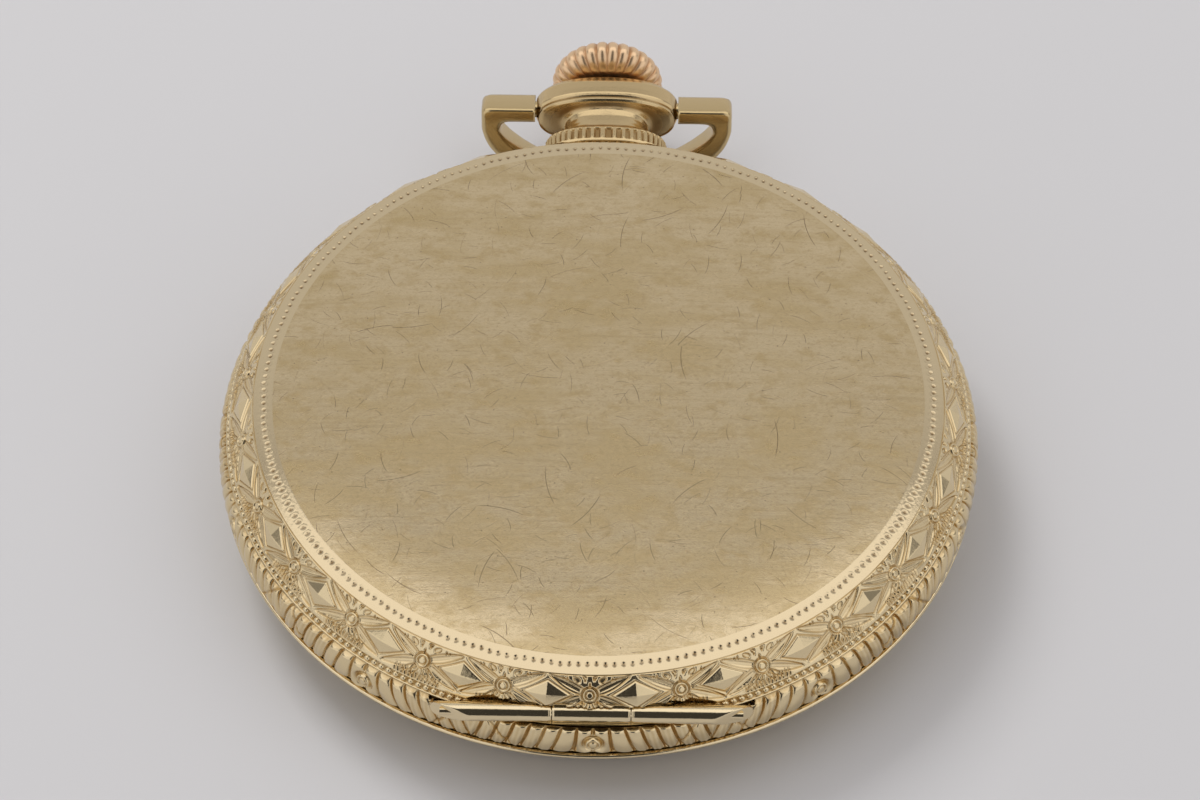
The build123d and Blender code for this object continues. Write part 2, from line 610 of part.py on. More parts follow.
with BuildPart() as barrel_arbor:
    disc(BARREL, PIVOT_R, 3.6, 4.6)
    disc(BARREL, 0.55, 4.55, 4.85)
    disc(BARREL, 1.05, 4.85, 5.84)
    disc(BARREL, 0.7, 5.84, 7.45)
save(barrel_arbor, "barrel_arbor")

with BuildPart() as centre_wheel:
    with BuildSketch(Plane.XY.offset(6.1)):
        with BuildLine():
            facing = heading(CENTRE, THIRD)
            Polyline(toothed(CENTRE_TEETH, CENTRE_MODULE, CENTRE, facing), close=True)
        make_face()
        ring_of_windows(CENTRE, 1.3, CENTRE_TEETH * CENTRE_MODULE / 2 - 0.8, 5, 0.55)
    extrude(amount=0.15)
    gear(
        toothed(CENTRE_PINION, BARREL_MODULE, CENTRE, heading(CENTRE, BARREL), gap=True),
        4.62,
        5.9,
    )
    disc(CENTRE, 0.35, 1.95, 6.95)
    disc(CENTRE, PIVOT_R, 6.9, 7.2)
save(centre_wheel, "centre_wheel")

train_wheel(
    "third_wheel",
    THIRD,
    (THIRD_TEETH, THIRD_MODULE, heading(THIRD, FOURTH), False),
    (THIRD_PINION, CENTRE_MODULE, heading(THIRD, CENTRE), True),
    (5.3, 5.45),
    (5.95, 6.32),
    (4.55, 6.9),
    (3.6, 7.2),
)
train_wheel(
    "fourth_wheel",
    FOURTH,
    (FOURTH_TEETH, FOURTH_MODULE, heading(FOURTH, ESCAPE), False),
    (FOURTH_PINION, THIRD_MODULE, heading(FOURTH, THIRD), True),
    (5.75, 5.9),
    (5.0, 5.7),
    (2.66, 6.9),
    (2.36, 7.2),
)

ESCAPE_R, ESCAPE_TEETH = 2.6, 15
with BuildPart() as escape_wheel:
    outline = []
    for tooth in range(ESCAPE_TEETH):
        base = 2 * pi * tooth / ESCAPE_TEETH
        for radius, share in ((1.95, -0.12), (2.5, 0.16), (ESCAPE_R, 0.30), (2.5, 0.32), (1.95, 0.2)):
            angle = base + share * 2 * pi / ESCAPE_TEETH
            outline.append((ESCAPE[0] + radius * cos(angle), ESCAPE[1] + radius * sin(angle)))
    with BuildSketch(Plane.XY.offset(5.2)):
        with BuildLine():
            Polyline(outline, close=True)
        make_face()
        ring_of_windows(ESCAPE, 0.6, 1.65, 4, 0.3)
    extrude(amount=0.15)
    gear(
        toothed(ESCAPE_PINION, FOURTH_MODULE, ESCAPE, heading(ESCAPE, FOURTH), gap=True),
        5.6,
        6.05,
    )
    disc(ESCAPE, 0.2, 4.55, 6.9)
    disc(ESCAPE, PIVOT_R, 3.6, 7.2)
save(escape_wheel, "escape_wheel")

with BuildPart() as pallet_fork:
    lever = Location((PALLET[0], PALLET[1], 0), (0, 0, degrees(LEVER_ANGLE)))
    lever_plane = Plane(origin=(PALLET[0], PALLET[1], 5.1), x_dir=(cos(LEVER_ANGLE), sin(LEVER_ANGLE), 0))
    with BuildSketch(lever_plane):
        Circle(0.55)
        with BuildLine():
            Polyline((0, -0.28), (3.2, -0.14), (3.2, 0.14), (0, 0.28), close=True)
        make_face()
        with Locations((3.25, 0)):
            Rectangle(0.5, 0.9)
        with Locations((3.4, 0)):
            Rectangle(0.3, 0.32, mode=Mode.SUBTRACT)
        with BuildLine():
            Polyline(
                (0.35, 0.3),
                (0.1, 2.15),
                (-0.55, 2.3),
                (-0.62, 1.95),
                (-0.25, 1.85),
                (-0.3, 0.3),
                close=True,
            )
        make_face()
        with BuildLine():
            Polyline(
                (0.35, -0.3),
                (0.1, -2.15),
                (-0.55, -2.3),
                (-0.62, -1.95),
                (-0.25, -1.85),
                (-0.3, -0.3),
                close=True,
            )
        make_face()
    extrude(amount=0.3)
    disc(PALLET, PIVOT_R, 3.6, 5.85)
save(pallet_fork, "pallet_fork")

with BuildPart() as balance_wheel:
    with BuildSketch(Plane.XY.offset(6.0)):
        with Locations(BALANCE):
            Circle(BALANCE_R)
            Circle(BALANCE_R - 0.5, mode=Mode.SUBTRACT)
            Circle(0.75)
        with Locations(Location((BALANCE[0], BALANCE[1], 0), (0, 0, 25))):
            Rectangle(2 * BALANCE_R - 0.4, 0.55)
    extrude(amount=0.4)
    disc(BALANCE, 0.18, 4.2, 7.1)
    disc(BALANCE, PIVOT_R, 3.7, 7.2)
save(balance_wheel, "balance_wheel")

with BuildPart() as balance_screws:
    for turn in range(16):
        angle = 25 + 22.5 * (turn + 0.5)
        out = Vector(cos(radians(angle)), sin(radians(angle)), 0)
        seat = Vector(BALANCE[0], BALANCE[1], 6.2) + out * BALANCE_R
        with BuildSketch(Plane(origin=seat, z_dir=out)):
            Circle(0.17)
        extrude(amount=0.32)
save(balance_screws, "balance_screws")

with BuildPart() as roller:
    disc(BALANCE, 0.75, 5.35, 5.55)
    disc(BALANCE, 0.2, 5.0, 6.0, mode=Mode.SUBTRACT)
save(roller, "roller")

with BuildPart() as balance_spring:
    gear(spiral(BALANCE, 0.55, 2.6, 8, 0.06, 0.4, 24), 6.55, 6.75)
save(balance_spring, "balance_spring")

with BuildPart() as regulator:
    with BuildSketch(Plane.XY.offset(COCK_HIGH_Z + 0.03)):
        with Locations(BALANCE):
            Circle(1.25)
            Circle(0.82, mode=Mode.SUBTRACT)
        toward = radians(290)
        start = (BALANCE[0] + 1.2 * cos(toward), BALANCE[1] + 1.2 * sin(toward))
        end = (BALANCE[0] + 4.6 * cos(toward), BALANCE[1] + 4.6 * sin(toward))
        middle = ((start[0] + end[0]) / 2, (start[1] + end[1]) / 2)
        with Locations(Location((middle[0], middle[1], 0), (0, 0, 290))):
            Rectangle(3.6, 0.35)
    extrude(amount=0.15)
save(regulator, "regulator")

# ---------------------------------------------------------------- winding work
with BuildPart() as ratchet_wheel:
    gear(
        toothed(RATCHET_TEETH, WINDING_MODULE, BARREL, heading(BARREL, CROWN_WHEEL)),
        7.45,
        7.75,
    )
    with BuildSketch(Plane.XY.offset(7.75)):
        with Locations(BARREL):
            Circle(1.3)
    extrude(amount=0.2)
    with Locations((BARREL[0], BARREL[1], 7.95)):
        Box(3.0, 0.25, 0.3, mode=Mode.SUBTRACT)
save(ratchet_wheel, "ratchet_wheel")

with BuildPart() as crown_wheel:
    gear(
        toothed(
            CROWN_TEETH, WINDING_MODULE, CROWN_WHEEL, heading(CROWN_WHEEL, BARREL), gap=True
        ),
        7.45,
        7.75,
    )
    disc(CROWN_WHEEL, 2.7, 6.55, 7.45)
    disc(CROWN_WHEEL, 2.05, 6.3, 7.2, mode=Mode.SUBTRACT)
    with BuildSketch(Plane.XY.offset(6.40)):
        for tooth in range(CROWN_TEETH):
            angle = 90 + 360 / CROWN_TEETH * (tooth + 0.5)
            spot = (
                CROWN_WHEEL[0] + CONTRATE_R * cos(radians(angle)),
                CROWN_WHEEL[1] + CONTRATE_R * sin(radians(angle)),
            )
            with Locations(Location((spot[0], spot[1], 0), (0, 0, angle))):
                Rectangle(0.55, 0.11)
    extrude(amount=0.25)
save(crown_wheel, "crown_wheel")

with BuildPart() as winding_arbor:
    points = []
    for tooth in range(WINDING_TEETH):
        for radius, share in ((1.02, -0.25), (1.28, -0.12), (1.28, 0.12), (1.02, 0.25)):
            angle = pi / 2 + (tooth + share) * 2 * pi / WINDING_TEETH
            points.append((radius * cos(angle), radius * sin(angle)))
    with BuildSketch(across(15.5)):
        with BuildLine():
            Polyline(points, close=True)
        make_face()
    extrude(amount=0.6)
    with BuildSketch(across(14.8)):
        Circle(0.5)
    extrude(amount=4.0)
    with BuildSketch(across(16.1)):
        Rectangle(0.68, 0.68)
    extrude(amount=3.0, mode=Mode.SUBTRACT)
save(winding_arbor, "winding_arbor")

with BuildPart() as click:
    click_at = (BARREL[0] - 6.6, BARREL[1] + 3.4)
    with BuildSketch(Plane.XY.offset(7.45)):
        with Locations(click_at):
            Circle(0.75)
        with BuildLine():
            Polyline(
                (click_at[0] - 0.4, click_at[1] + 0.3),
                (click_at[0] + 0.5, click_at[1] + 0.2),
                (click_at[0] + 1.25, click_at[1] + 1.55),
                (click_at[0] + 0.75, click_at[1] + 1.75),
                close=True,
            )
        make_face()
        with Locations(click_at):
            Circle(0.32, mode=Mode.SUBTRACT)
    extrude(amount=0.25)
save(click, "click")

with BuildPart() as click_screw:
    disc(click_at, 0.3, 7.36, 7.72)
    disc(click_at, 0.55, 7.72, 7.95)
    with Locations((click_at[0], click_at[1], 7.95)):
        Box(1.4, 0.15, 0.2, mode=Mode.SUBTRACT)
save(click_screw, "click_screw")

# ---------------------------------------------------------------- motion work and hands
CANNON_MODULE = 2 * MOTION_DISTANCE / (CANNON_TEETH + MINUTE_TEETH)
HOUR_MODULE = 2 * MOTION_DISTANCE / (MINUTE_PINION + HOUR_TEETH)
CANNON_R, PIPE_R = 0.62, 0.95
with BuildPart() as cannon_pinion:
    gear(
        toothed(CANNON_TEETH, CANNON_MODULE, CENTRE, heading(CENTRE, MINUTE_WORK)),
        3.35,
        3.72,
    )
    disc(CENTRE, CANNON_R, 1.75, 3.4)
    disc(CENTRE, 0.36, 1.9, 4.0, mode=Mode.SUBTRACT)
save(cannon_pinion, "cannon_pinion")

with BuildPart() as minute_wheel:
    gear(
        toothed(
            MINUTE_TEETH, CANNON_MODULE, MINUTE_WORK, heading(MINUTE_WORK, CENTRE), gap=True
        ),
        3.45,
        3.62,
    )
    gear(
        toothed(
            MINUTE_PINION, HOUR_MODULE, MINUTE_WORK, heading(MINUTE_WORK, CENTRE), gap=True
        ),
        2.98,
        3.45,
    )
    disc(MINUTE_WORK, PIVOT_R, 3.62, 4.3)
save(minute_wheel, "minute_wheel")

with BuildPart() as hour_wheel:
    gear(toothed(HOUR_TEETH, HOUR_MODULE, CENTRE, heading(CENTRE, MINUTE_WORK)), 3.02, 3.2)
    disc(CENTRE, PIPE_R, 2.12, 3.05)
    disc(CENTRE, CANNON_R + 0.04, 2.0, 4.0, mode=Mode.SUBTRACT)
save(hour_wheel, "hour_wheel")


def hand(name, centre, collet_r, hole_r, low, high, outline):
    """A watch hand: a collet disc with a hole, and a blade given as half an outline along +Y."""
    with BuildPart() as made:
        with BuildSketch(Plane.XY.offset(low)):
            with BuildLine():
                mirrored = [(-x, y) for x, y in reversed(outline)]
                points = [(centre[0] + x, centre[1] + y) for x, y in outline + mirrored]
                Polyline(points, close=True)
            make_face()
            with Locations(centre):
                Circle(collet_r)
                Circle(hole_r, mode=Mode.SUBTRACT)
        extrude(amount=high - low)
    save(made, name)


HOUR_BLADE = [(0.35, 0.9), (0.22, 5.2), (0.95, 6.6), (0.35, 8.0), (0.06, 10.4)]
MINUTE_BLADE = [(0.28, 0.7), (0.17, 10.4), (0.72, 11.9), (0.26, 13.2), (0.05, 16.6)]
SECOND_BLADE = [(0.14, -1.4), (0.10, 0.2), (0.04, 3.6)]
hand("hour_hand", CENTRE, 1.45, PIPE_R + 0.01, 2.14, 2.26, HOUR_BLADE)
hand("minute_hand", CENTRE, 1.15, CANNON_R + 0.01, 1.78, 1.88, MINUTE_BLADE)
hand("second_hand", FOURTH, 0.40, PIVOT_R + 0.01, 2.40, 2.48, SECOND_BLADE)
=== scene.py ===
import json
import math

import bpy
import numpy as np
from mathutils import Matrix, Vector


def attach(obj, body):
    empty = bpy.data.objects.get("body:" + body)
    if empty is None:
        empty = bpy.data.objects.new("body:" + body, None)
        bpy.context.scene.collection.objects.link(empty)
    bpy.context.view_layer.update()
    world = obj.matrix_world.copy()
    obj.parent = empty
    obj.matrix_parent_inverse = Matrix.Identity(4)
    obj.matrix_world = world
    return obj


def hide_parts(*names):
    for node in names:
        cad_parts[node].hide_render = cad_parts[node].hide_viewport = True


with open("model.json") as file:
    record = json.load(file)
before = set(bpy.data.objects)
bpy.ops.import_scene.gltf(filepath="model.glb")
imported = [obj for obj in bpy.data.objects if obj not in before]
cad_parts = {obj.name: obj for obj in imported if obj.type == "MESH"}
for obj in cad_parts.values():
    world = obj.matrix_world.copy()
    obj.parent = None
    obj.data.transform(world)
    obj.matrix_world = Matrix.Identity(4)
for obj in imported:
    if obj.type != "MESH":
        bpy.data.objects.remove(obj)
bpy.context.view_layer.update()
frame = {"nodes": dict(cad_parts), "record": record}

# ------------------------------------------------------------------ sizes, in millimetres
MM = 0.001
RING_R, RING_Z = 20.0, 9.2
CREASE_R, CREASE_Z = 19.5, 9.34
GROOVE_R, GROOVE_Z = 20.64, 9.06
HINGE_Y, HINGE_Z, HINGE_R = -21.6, 6.75, 0.575
HINGE_HALF, KNUCKLE_HALF = 9.4, 2.3
PIVOT_Y, PIVOT_Z = 26.8, 5.2
BOW_FOLD = math.radians(74.0)
HINGE_RIM_Y, HINGE_TOP_Z = -20.9, 7.45
FLOWERS, BEADS, DOTS = 26, 272, 240
FLOWER_R, BEAD_R, BAND_R = 21.5, 22.2, 22.6  # mean radii of the flowers, beads and band


# ------------------------------------------------------------------ materials
class Shader:
    """A small helper around one node tree: a new material's, unless another tree is given."""

    def __init__(self, name, tree=None):
        if tree is None:
            self.material = bpy.data.materials.new(name)
            self.material.use_nodes = True
            tree = self.material.node_tree
        self.tree = tree
        self.surface = tree.nodes.get("Principled BSDF")
        self.place = None

    def node(self, kind, **values):
        made = self.tree.nodes.new("ShaderNode" + kind)
        for key, value in values.items():
            setattr(made, key, value)
        return made

    def link(self, a, b):
        self.tree.links.new(a, b)

    def coords(self):
        """Object coordinates in millimetres."""
        if self.place is None:
            source = self.node("TexCoord")
            scale = self.node("VectorMath", operation="SCALE")
            scale.inputs["Scale"].default_value = 1000
            self.link(source.outputs["Object"], scale.inputs[0])
            self.place = scale.outputs[0]
        return self.place

    def math(self, operation, a, b=None, clamp=False):
        made = self.node("Math", operation=operation, use_clamp=clamp)
        for socket, value in zip(made.inputs, (a, b)):
            if value is None:
                continue
            if isinstance(value, (int, float)):
                socket.default_value = value
            else:
                self.link(value, socket)
        return made.outputs[0]

    def noise(self, scale, detail=4, stretch=(1, 1, 1), roughness=0.55, turn=0):
        made = self.node("TexNoise")
        made.inputs["Scale"].default_value = scale
        made.inputs["Detail"].default_value = detail
        made.inputs["Roughness"].default_value = roughness
        mapping = self.node("Mapping")
        mapping.inputs["Scale"].default_value = stretch
        mapping.inputs["Rotation"].default_value = (0, 0, turn)
        self.link(self.coords(), mapping.inputs["Vector"])
        self.link(mapping.outputs[0], made.inputs["Vector"])
        return made.outputs["Fac"]

    def span(self, value, low, high, to_low=0.0, to_high=1.0, smooth=True):
        made = self.node("MapRange", interpolation_type="SMOOTHSTEP" if smooth else "LINEAR")
        for name, number in zip(
            ("From Min", "From Max", "To Min", "To Max"), (low, high, to_low, to_high)
        ):
            made.inputs[name].default_value = number
        self.link(value, made.inputs["Value"])
        return made.outputs["Result"]

    def mix(self, factor, a, b):
        made = self.node("Mix", data_type="RGBA")
        for socket, value in zip((made.inputs[0], made.inputs[6], made.inputs[7]), (factor, a, b)):
            if isinstance(value, tuple):
                socket.default_value = (*value, 1)
            elif isinstance(value, (int, float)):
                socket.default_value = value
            else:
                self.link(value, socket)
        return made.outputs[2]

    def bump(self, height, distance, strength=1.0):
        made = self.node("Bump")
        made.inputs["Distance"].default_value = distance * MM
        made.inputs["Strength"].default_value = strength
        self.link(height, made.inputs["Height"])
        if self.surface.inputs["Normal"].is_linked:
            self.link(self.surface.inputs["Normal"].links[0].from_socket, made.inputs["Normal"])
        self.link(made.outputs[0], self.surface.inputs["Normal"])

    def scratches(self, scale, width, length, seed, share=1.0):
        """A field of straight scratches, one per cell, each in its own direction."""
        shift = self.node("VectorMath", operation="ADD")
        shift.inputs[1].default_value = (seed * 3.7, seed * 1.9, 0)
        self.link(self.coords(), shift.inputs[0])
        flat = self.node("VectorMath", operation="MULTIPLY")
        flat.inputs[1].default_value = (scale, scale, 0)
        self.link(shift.outputs[0], flat.inputs[0])
        cell = self.node("TexVoronoi", voronoi_dimensions="2D")
        cell.inputs["Scale"].default_value = 1
        self.link(flat.outputs[0], cell.inputs["Vector"])
        away = self.node("VectorMath", operation="SUBTRACT")
        self.link(flat.outputs[0], away.inputs[0])
        self.link(cell.outputs["Position"], away.inputs[1])
        split = self.node("SeparateColor")
        self.link(cell.outputs["Color"], split.inputs[0])
        turn = self.node("VectorRotate", rotation_type="Z_AXIS")
        self.link(away.outputs[0], turn.inputs["Vector"])
        self.link(self.math("MULTIPLY", split.outputs[0], 6.283), turn.inputs["Angle"])
        local = self.node("SeparateXYZ")
        self.link(turn.outputs[0], local.inputs[0])
        bend = self.math("MULTIPLY", self.math("POWER", local.outputs[0], 2), 0.35)
        across = self.math("ABSOLUTE", self.math("ADD", local.outputs[1], bend))
        along = self.math("ABSOLUTE", local.outputs[0])
        line = self.span(across, width * 0.3, width, 1, 0)
        ends = self.span(along, length * 0.5, length, 1, 0)
        drawn = self.math("LESS_THAN", split.outputs[1], share)
        strength = self.math("MULTIPLY", self.math("MULTIPLY", line, ends), drawn)
        return self.math("MULTIPLY", strength, split.outputs[2])


def metal(name, colour, roughness=0.15, recess_shade=None, mottle=0.0):
    """A polished metal. With a hollow colour given, a per-point attribute paints shade into the cut
    hollows as that darker colour.
    """
    shader = Shader(name)
    surface = shader.surface
    surface.inputs["Metallic"].default_value = 1.0
    surface.inputs["Base Color"].default_value = (*colour, 1)
    surface.inputs["Roughness"].default_value = roughness
    if recess_shade:
        # painted shade: the hollows are tinted towards the hollow colour, more in some noise patches
        # than in others
        hollow = shader.node("Attribute", attribute_name="recess_shade")
        patch = shader.noise(0.55, 3)
        hollow_shade_patches = shader.span(patch, 0.32, 0.62, 0.55, 1.25)
        amount = shader.math("MULTIPLY", hollow.outputs["Fac"], hollow_shade_patches)
        tone = shader.mix(shader.math("MINIMUM", amount, 1.0), colour, recess_shade)
        shader.link(tone, surface.inputs["Base Color"])
        shader.link(
            shader.span(hollow.outputs["Fac"], 0, 1, roughness, roughness + 0.16),
            surface.inputs["Roughness"],
        )
        shader.bump(shader.noise(5.0, 6), 0.012, 0.6)
    if mottle:
        shader.bump(shader.noise(2.2, 5), 0.01, mottle)
    return shader.material


def dome_metal():
    """The worn middle of the back: gold under haze, smudges and hairline scratches."""
    shader = Shader("worn_gold")
    surface = shader.surface
    surface.inputs["Metallic"].default_value = 1.0
    fine = shader.scratches(1.9, 0.026, 0.42, 1)
    finer = shader.scratches(3.1, 0.036, 0.45, 5)
    hairs = shader.scratches(0.5, 0.009, 0.46, 33, 0.8)
    medium = shader.scratches(0.75, 0.013, 0.42, 9, 0.75)
    long = shader.scratches(0.26, 0.006, 0.45, 14, 0.6)
    nicks = shader.scratches(1.1, 0.04, 0.06, 21, 0.3)
    marks = shader.math("ADD", shader.math("MULTIPLY", fine, 0.45), shader.math("MULTIPLY", finer, 0.3))
    deep = shader.math("ADD", shader.math("ADD", shader.math("MAXIMUM", medium, hairs), long), nicks)
    haze = shader.noise(0.16, 5, (1, 2.4, 1), 0.6)
    blot = shader.noise(0.75, 6, (1, 1.5, 1), 0.65)
    brush = shader.noise(0.9, 4, (0.16, 5.0, 1), 0.6, 0.05)
    grit = shader.noise(4.5, 5, (1, 1.6, 1), 0.7)
    tone = shader.mix(shader.span(haze, 0.38, 0.64), (0.72, 0.58, 0.36), (0.63, 0.49, 0.27))
    tone = shader.mix(shader.span(blot, 0.45, 0.72, 0, 0.8), tone, (0.56, 0.42, 0.21))
    tone = shader.mix(shader.span(grit, 0.5, 0.68, 0, 0.6), tone, (0.52, 0.39, 0.21))
    tone = shader.mix(shader.span(brush, 0.5, 0.75, 0, 0.45), tone, (0.55, 0.42, 0.23))
    tone = shader.mix(shader.math("MULTIPLY", deep, 1.3, True), tone, (0.20, 0.13, 0.07))
    tone = shader.mix(shader.math("MULTIPLY", marks, 1.1, True), tone, (0.47, 0.345, 0.185))
    shader.link(tone, surface.inputs["Base Color"])
    rough = shader.span(haze, 0.3, 0.7, 0.16, 0.24)
    rough = shader.math("ADD", rough, shader.span(blot, 0.4, 0.8, 0, 0.08))
    shader.link(rough, surface.inputs["Roughness"])
    shader.bump(shader.math("ADD", marks, shader.math("MULTIPLY", deep, 2.0)), -0.008, 1.0)
    shader.bump(brush, 0.004, 0.6)
    shader.bump(blot, 0.02, 0.6)
    shader.bump(grit, 0.006, 0.6)
    return shader.material


GOLD = (0.78, 0.635, 0.39)
# painted shade colour for the hollows of the engraving
GOLD_HOLLOW_SHADE = (0.50, 0.32, 0.12)
M_DOME = dome_metal()
M_BRIGHT = metal("bright_gold", (0.80, 0.66, 0.42), 0.13, mottle=0.7)
# ring_gold: its near-black hollow colour is painted shade in the punched dots
M_RING = metal("ring_gold", (0.72, 0.585, 0.37), 0.13, recess_shade=(0.26, 0.17, 0.08))
# pendant_gold: its hollow colour is painted shade in the collar slots and creases
M_PENDANT = metal("pendant_gold", (0.66, 0.50, 0.27), 0.18, recess_shade=(0.38, 0.24, 0.10))
M_ENGRAVED = metal("engraved_gold", GOLD, 0.15, recess_shade=GOLD_HOLLOW_SHADE)
M_PLAIN = metal("plain_gold", (0.74, 0.60, 0.36), 0.16, mottle=0.8)
M_BOW = metal("bow_gold", (0.62, 0.475, 0.25), 0.22, mottle=1.0)
# rose_gold: its hollow colour is painted shade between the crown's flutes
M_CROWN = metal("rose_gold", (0.88, 0.62, 0.38), 0.3, recess_shade=(0.52, 0.27, 0.12))
M_STEEL = metal("polished_steel", (0.62, 0.62, 0.63), 0.14)
M_BLUE = metal("blued_steel", (0.05, 0.09, 0.36), 0.16)
M_GILT = metal("gilt_brass", (0.86, 0.66, 0.32), 0.24)


def frosted(name, colour, stripe):
    """Movement plates with straight decorative bands, slightly grained."""
    shader = Shader(name)
    surface = shader.surface
    surface.inputs["Metallic"].default_value = 1.0
    mapping = shader.node("Mapping")
    mapping.inputs["Rotation"].default_value = (0, 0, 0.6)
    shader.link(shader.coords(), mapping.inputs["Vector"])
    wave = shader.node("TexWave", wave_profile="SAW")
    wave.inputs["Scale"].default_value = stripe
    shader.link(mapping.outputs[0], wave.inputs["Vector"])
    grain = shader.noise(6, 3, (1, 7, 1), 0.6, 0.6)
    surface.inputs["Base Color"].default_value = (*colour, 1)
    shader.link(shader.span(grain, 0.3, 0.7, 0.2, 0.32), surface.inputs["Roughness"])
    shader.bump(wave.outputs["Fac"], 0.05, 0.5)
    shader.bump(grain, 0.004, 0.5)
    return shader.material


def plain(name, colour, roughness, transmission=0.0, coat=0.0):
    """A simple non-metal."""
    shader = Shader(name)
    surface = shader.surface
    surface.inputs["Base Color"].default_value = (*colour, 1)
    surface.inputs["Roughness"].default_value = roughness
    surface.inputs["Transmission Weight"].default_value = transmission
    surface.inputs["Coat Weight"].default_value = coat
    return shader.material


M_NICKEL = frosted("striped_nickel", (0.74, 0.73, 0.70), 0.16)
M_RUBY = plain("ruby", (0.62, 0.03, 0.14), 0.05, 0.35, 1.0)
M_GLASS = plain("clear_glass", (1, 1, 1), 0.0, 1.0)
M_GLASS.node_tree.nodes["Principled BSDF"].inputs["IOR"].default_value = 1.5
M_ENAMEL = plain("white_enamel", (0.86, 0.85, 0.81), 0.12, 0, 0.6)
M_INK = plain("black_print", (0.012, 0.012, 0.016), 0.35)
SLOT_MATERIAL = {
    "case_gold": M_PLAIN,
    "steel": M_STEEL,
    "blued_steel": M_BLUE,
    "crystal_glass": M_GLASS,
    "crown_gold": M_CROWN,
    "nickel": M_NICKEL,
    "gilt_brass": M_GILT,
    "dial_enamel": M_ENAMEL,
    "ruby": M_RUBY,
}
node_slots = {row["node"]: row["material_slot"] for row in frame["record"]["subparts"]}
for node_name, node in frame["nodes"].items():
    node.data.materials.clear()
    gold_end = node_name == "back_hinge_pin"
    node.data.materials.append(M_BRIGHT if gold_end else SLOT_MATERIAL[node_slots[node_name]])


# ------------------------------------------------------------------ mesh helpers
def build(name, points, faces, material, body, recess_shade=None, smooth=True):
    """Makes a piece from points in millimetres and rides it on a body."""
    mesh = bpy.data.meshes.new(name)
    mesh.from_pydata((np.asarray(points, float) * MM).tolist(), [], faces)
    mesh.update()
    mesh.materials.append(material)
    if smooth:
        mesh.shade_smooth()
    if recess_shade is not None:
        attribute = mesh.attributes.new("recess_shade", "FLOAT", "POINT")
        attribute.data.foreach_set("value", np.asarray(recess_shade, np.float32).ravel())
    made = bpy.data.objects.new(name, mesh)
    bpy.context.scene.collection.objects.link(made)
    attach(made, body)
    return made


def grid_faces(rows, columns, wrap_columns, wrap_rows=False, keep=None):
    """Quads of a grid of points, row by row."""
    r = np.arange(rows if wrap_rows else rows - 1)
    c = np.arange(columns if wrap_columns else columns - 1)
    r, c = np.meshgrid(r, c, indexing="ij")
    if keep is not None:
        chosen = keep[: r.shape[0], : r.shape[1]]
        r, c = r[chosen], c[chosen]
    r, c = r.ravel(), c.ravel()
    r2, c2 = (r + 1) % rows, (c + 1) % columns
    return np.stack([r * columns + c, r * columns + c2, r2 * columns + c2, r2 * columns + c], 1).tolist()


def resample(profile, count):
    """Even steps along a polyline profile, with the distance at each step."""
    profile = np.asarray(profile, float)
    steps = np.hypot(*np.diff(profile, axis=0).T)
    distance = np.concatenate([[0], np.cumsum(steps)])
    at = np.linspace(0, distance[-1], count)
    return np.interp(at, distance, profile[:, 0]), np.interp(at, distance, profile[:, 1]), at


def curve(points, count=24):
    """A smooth line through a few profile points (Catmull-Rom)."""
    p = np.asarray(points, float)
    p = np.vstack([2 * p[0] - p[1], p, 2 * p[-1] - p[-2]])
    out = []
    for i in range(1, len(p) - 2):
        t = np.linspace(0, 1, count, endpoint=False)[:, None]
        a, b, c, d = p[i - 1], p[i], p[i + 1], p[i + 2]
        square = (2 * a - 5 * b + 4 * c - d) * t**2
        cube = (3 * b - a - 3 * c + d) * t**3
        out.append(0.5 * (2 * b + (c - a) * t + square + cube))
    return np.vstack([*out, p[-2:-1]])


def normals(radius, height):
    """Outward normals of a profile that runs from the top of the case down its outside."""
    dr, dz = np.gradient(radius), np.gradient(height)
    size = np.hypot(dr, dz) + 1e-12
    return -dz / size, dr / size


def lathe(name, profile, columns, material, body, closed=False):
    """Turns a profile of (radius, height) round the case's axis."""
    radius, height = np.asarray(profile, float).T
    angle = np.linspace(0, 2 * np.pi, columns, endpoint=False)
    points = np.stack(
        [
            radius[:, None] * np.cos(angle),
            radius[:, None] * np.sin(angle),
            np.repeat(height[:, None], columns, 1),
        ],
        2,
    )
    faces = grid_faces(len(radius), columns, True, closed)
    return build(name, points.reshape(-1, 3), faces, material, body)


def bump_at(distance, width):
    """A soft bell, one at zero distance."""
    return np.exp(-((distance / width) ** 2))


def ramp(x, low, high):
    """Smooth step from 0 to 1."""
    t = np.clip((x - low) / (high - low), 0, 1)
    return t * t * (3 - 2 * t)


# ------------------------------------------------------------------ engraving
def leaf(u, w, root, tip, width, depth, rib=0.05):
    """Height and painted hollow shade of one pointed leaf, cut as a valley with a rib along it."""
    du, dw = tip[0] - root[0], tip[1] - root[1]
    length = np.hypot(du, dw)
    along = ((u - root[0]) * du + (w - root[1]) * dw) / length**2
    across = (-(u - root[0]) * dw + (w - root[1]) * du) / length
    inside = (along > 0) & (along < 1)
    half = width * np.sin(np.pi * np.clip(along, 0, 1) ** 0.75) + 1e-4
    q = np.clip(1 - np.abs(across) / half, 0, 1) * inside
    outline = bump_at(np.abs(across) - half, 0.05) * inside * ramp(half, 0.02, 0.08)
    height = -depth * q + rib * bump_at(across, 0.055) * (q > 0) * ramp(q, 0, 0.4) - 0.05 * outline
    return height, 0.45 * q * (1 - bump_at(across, 0.05)) + 0.8 * outline


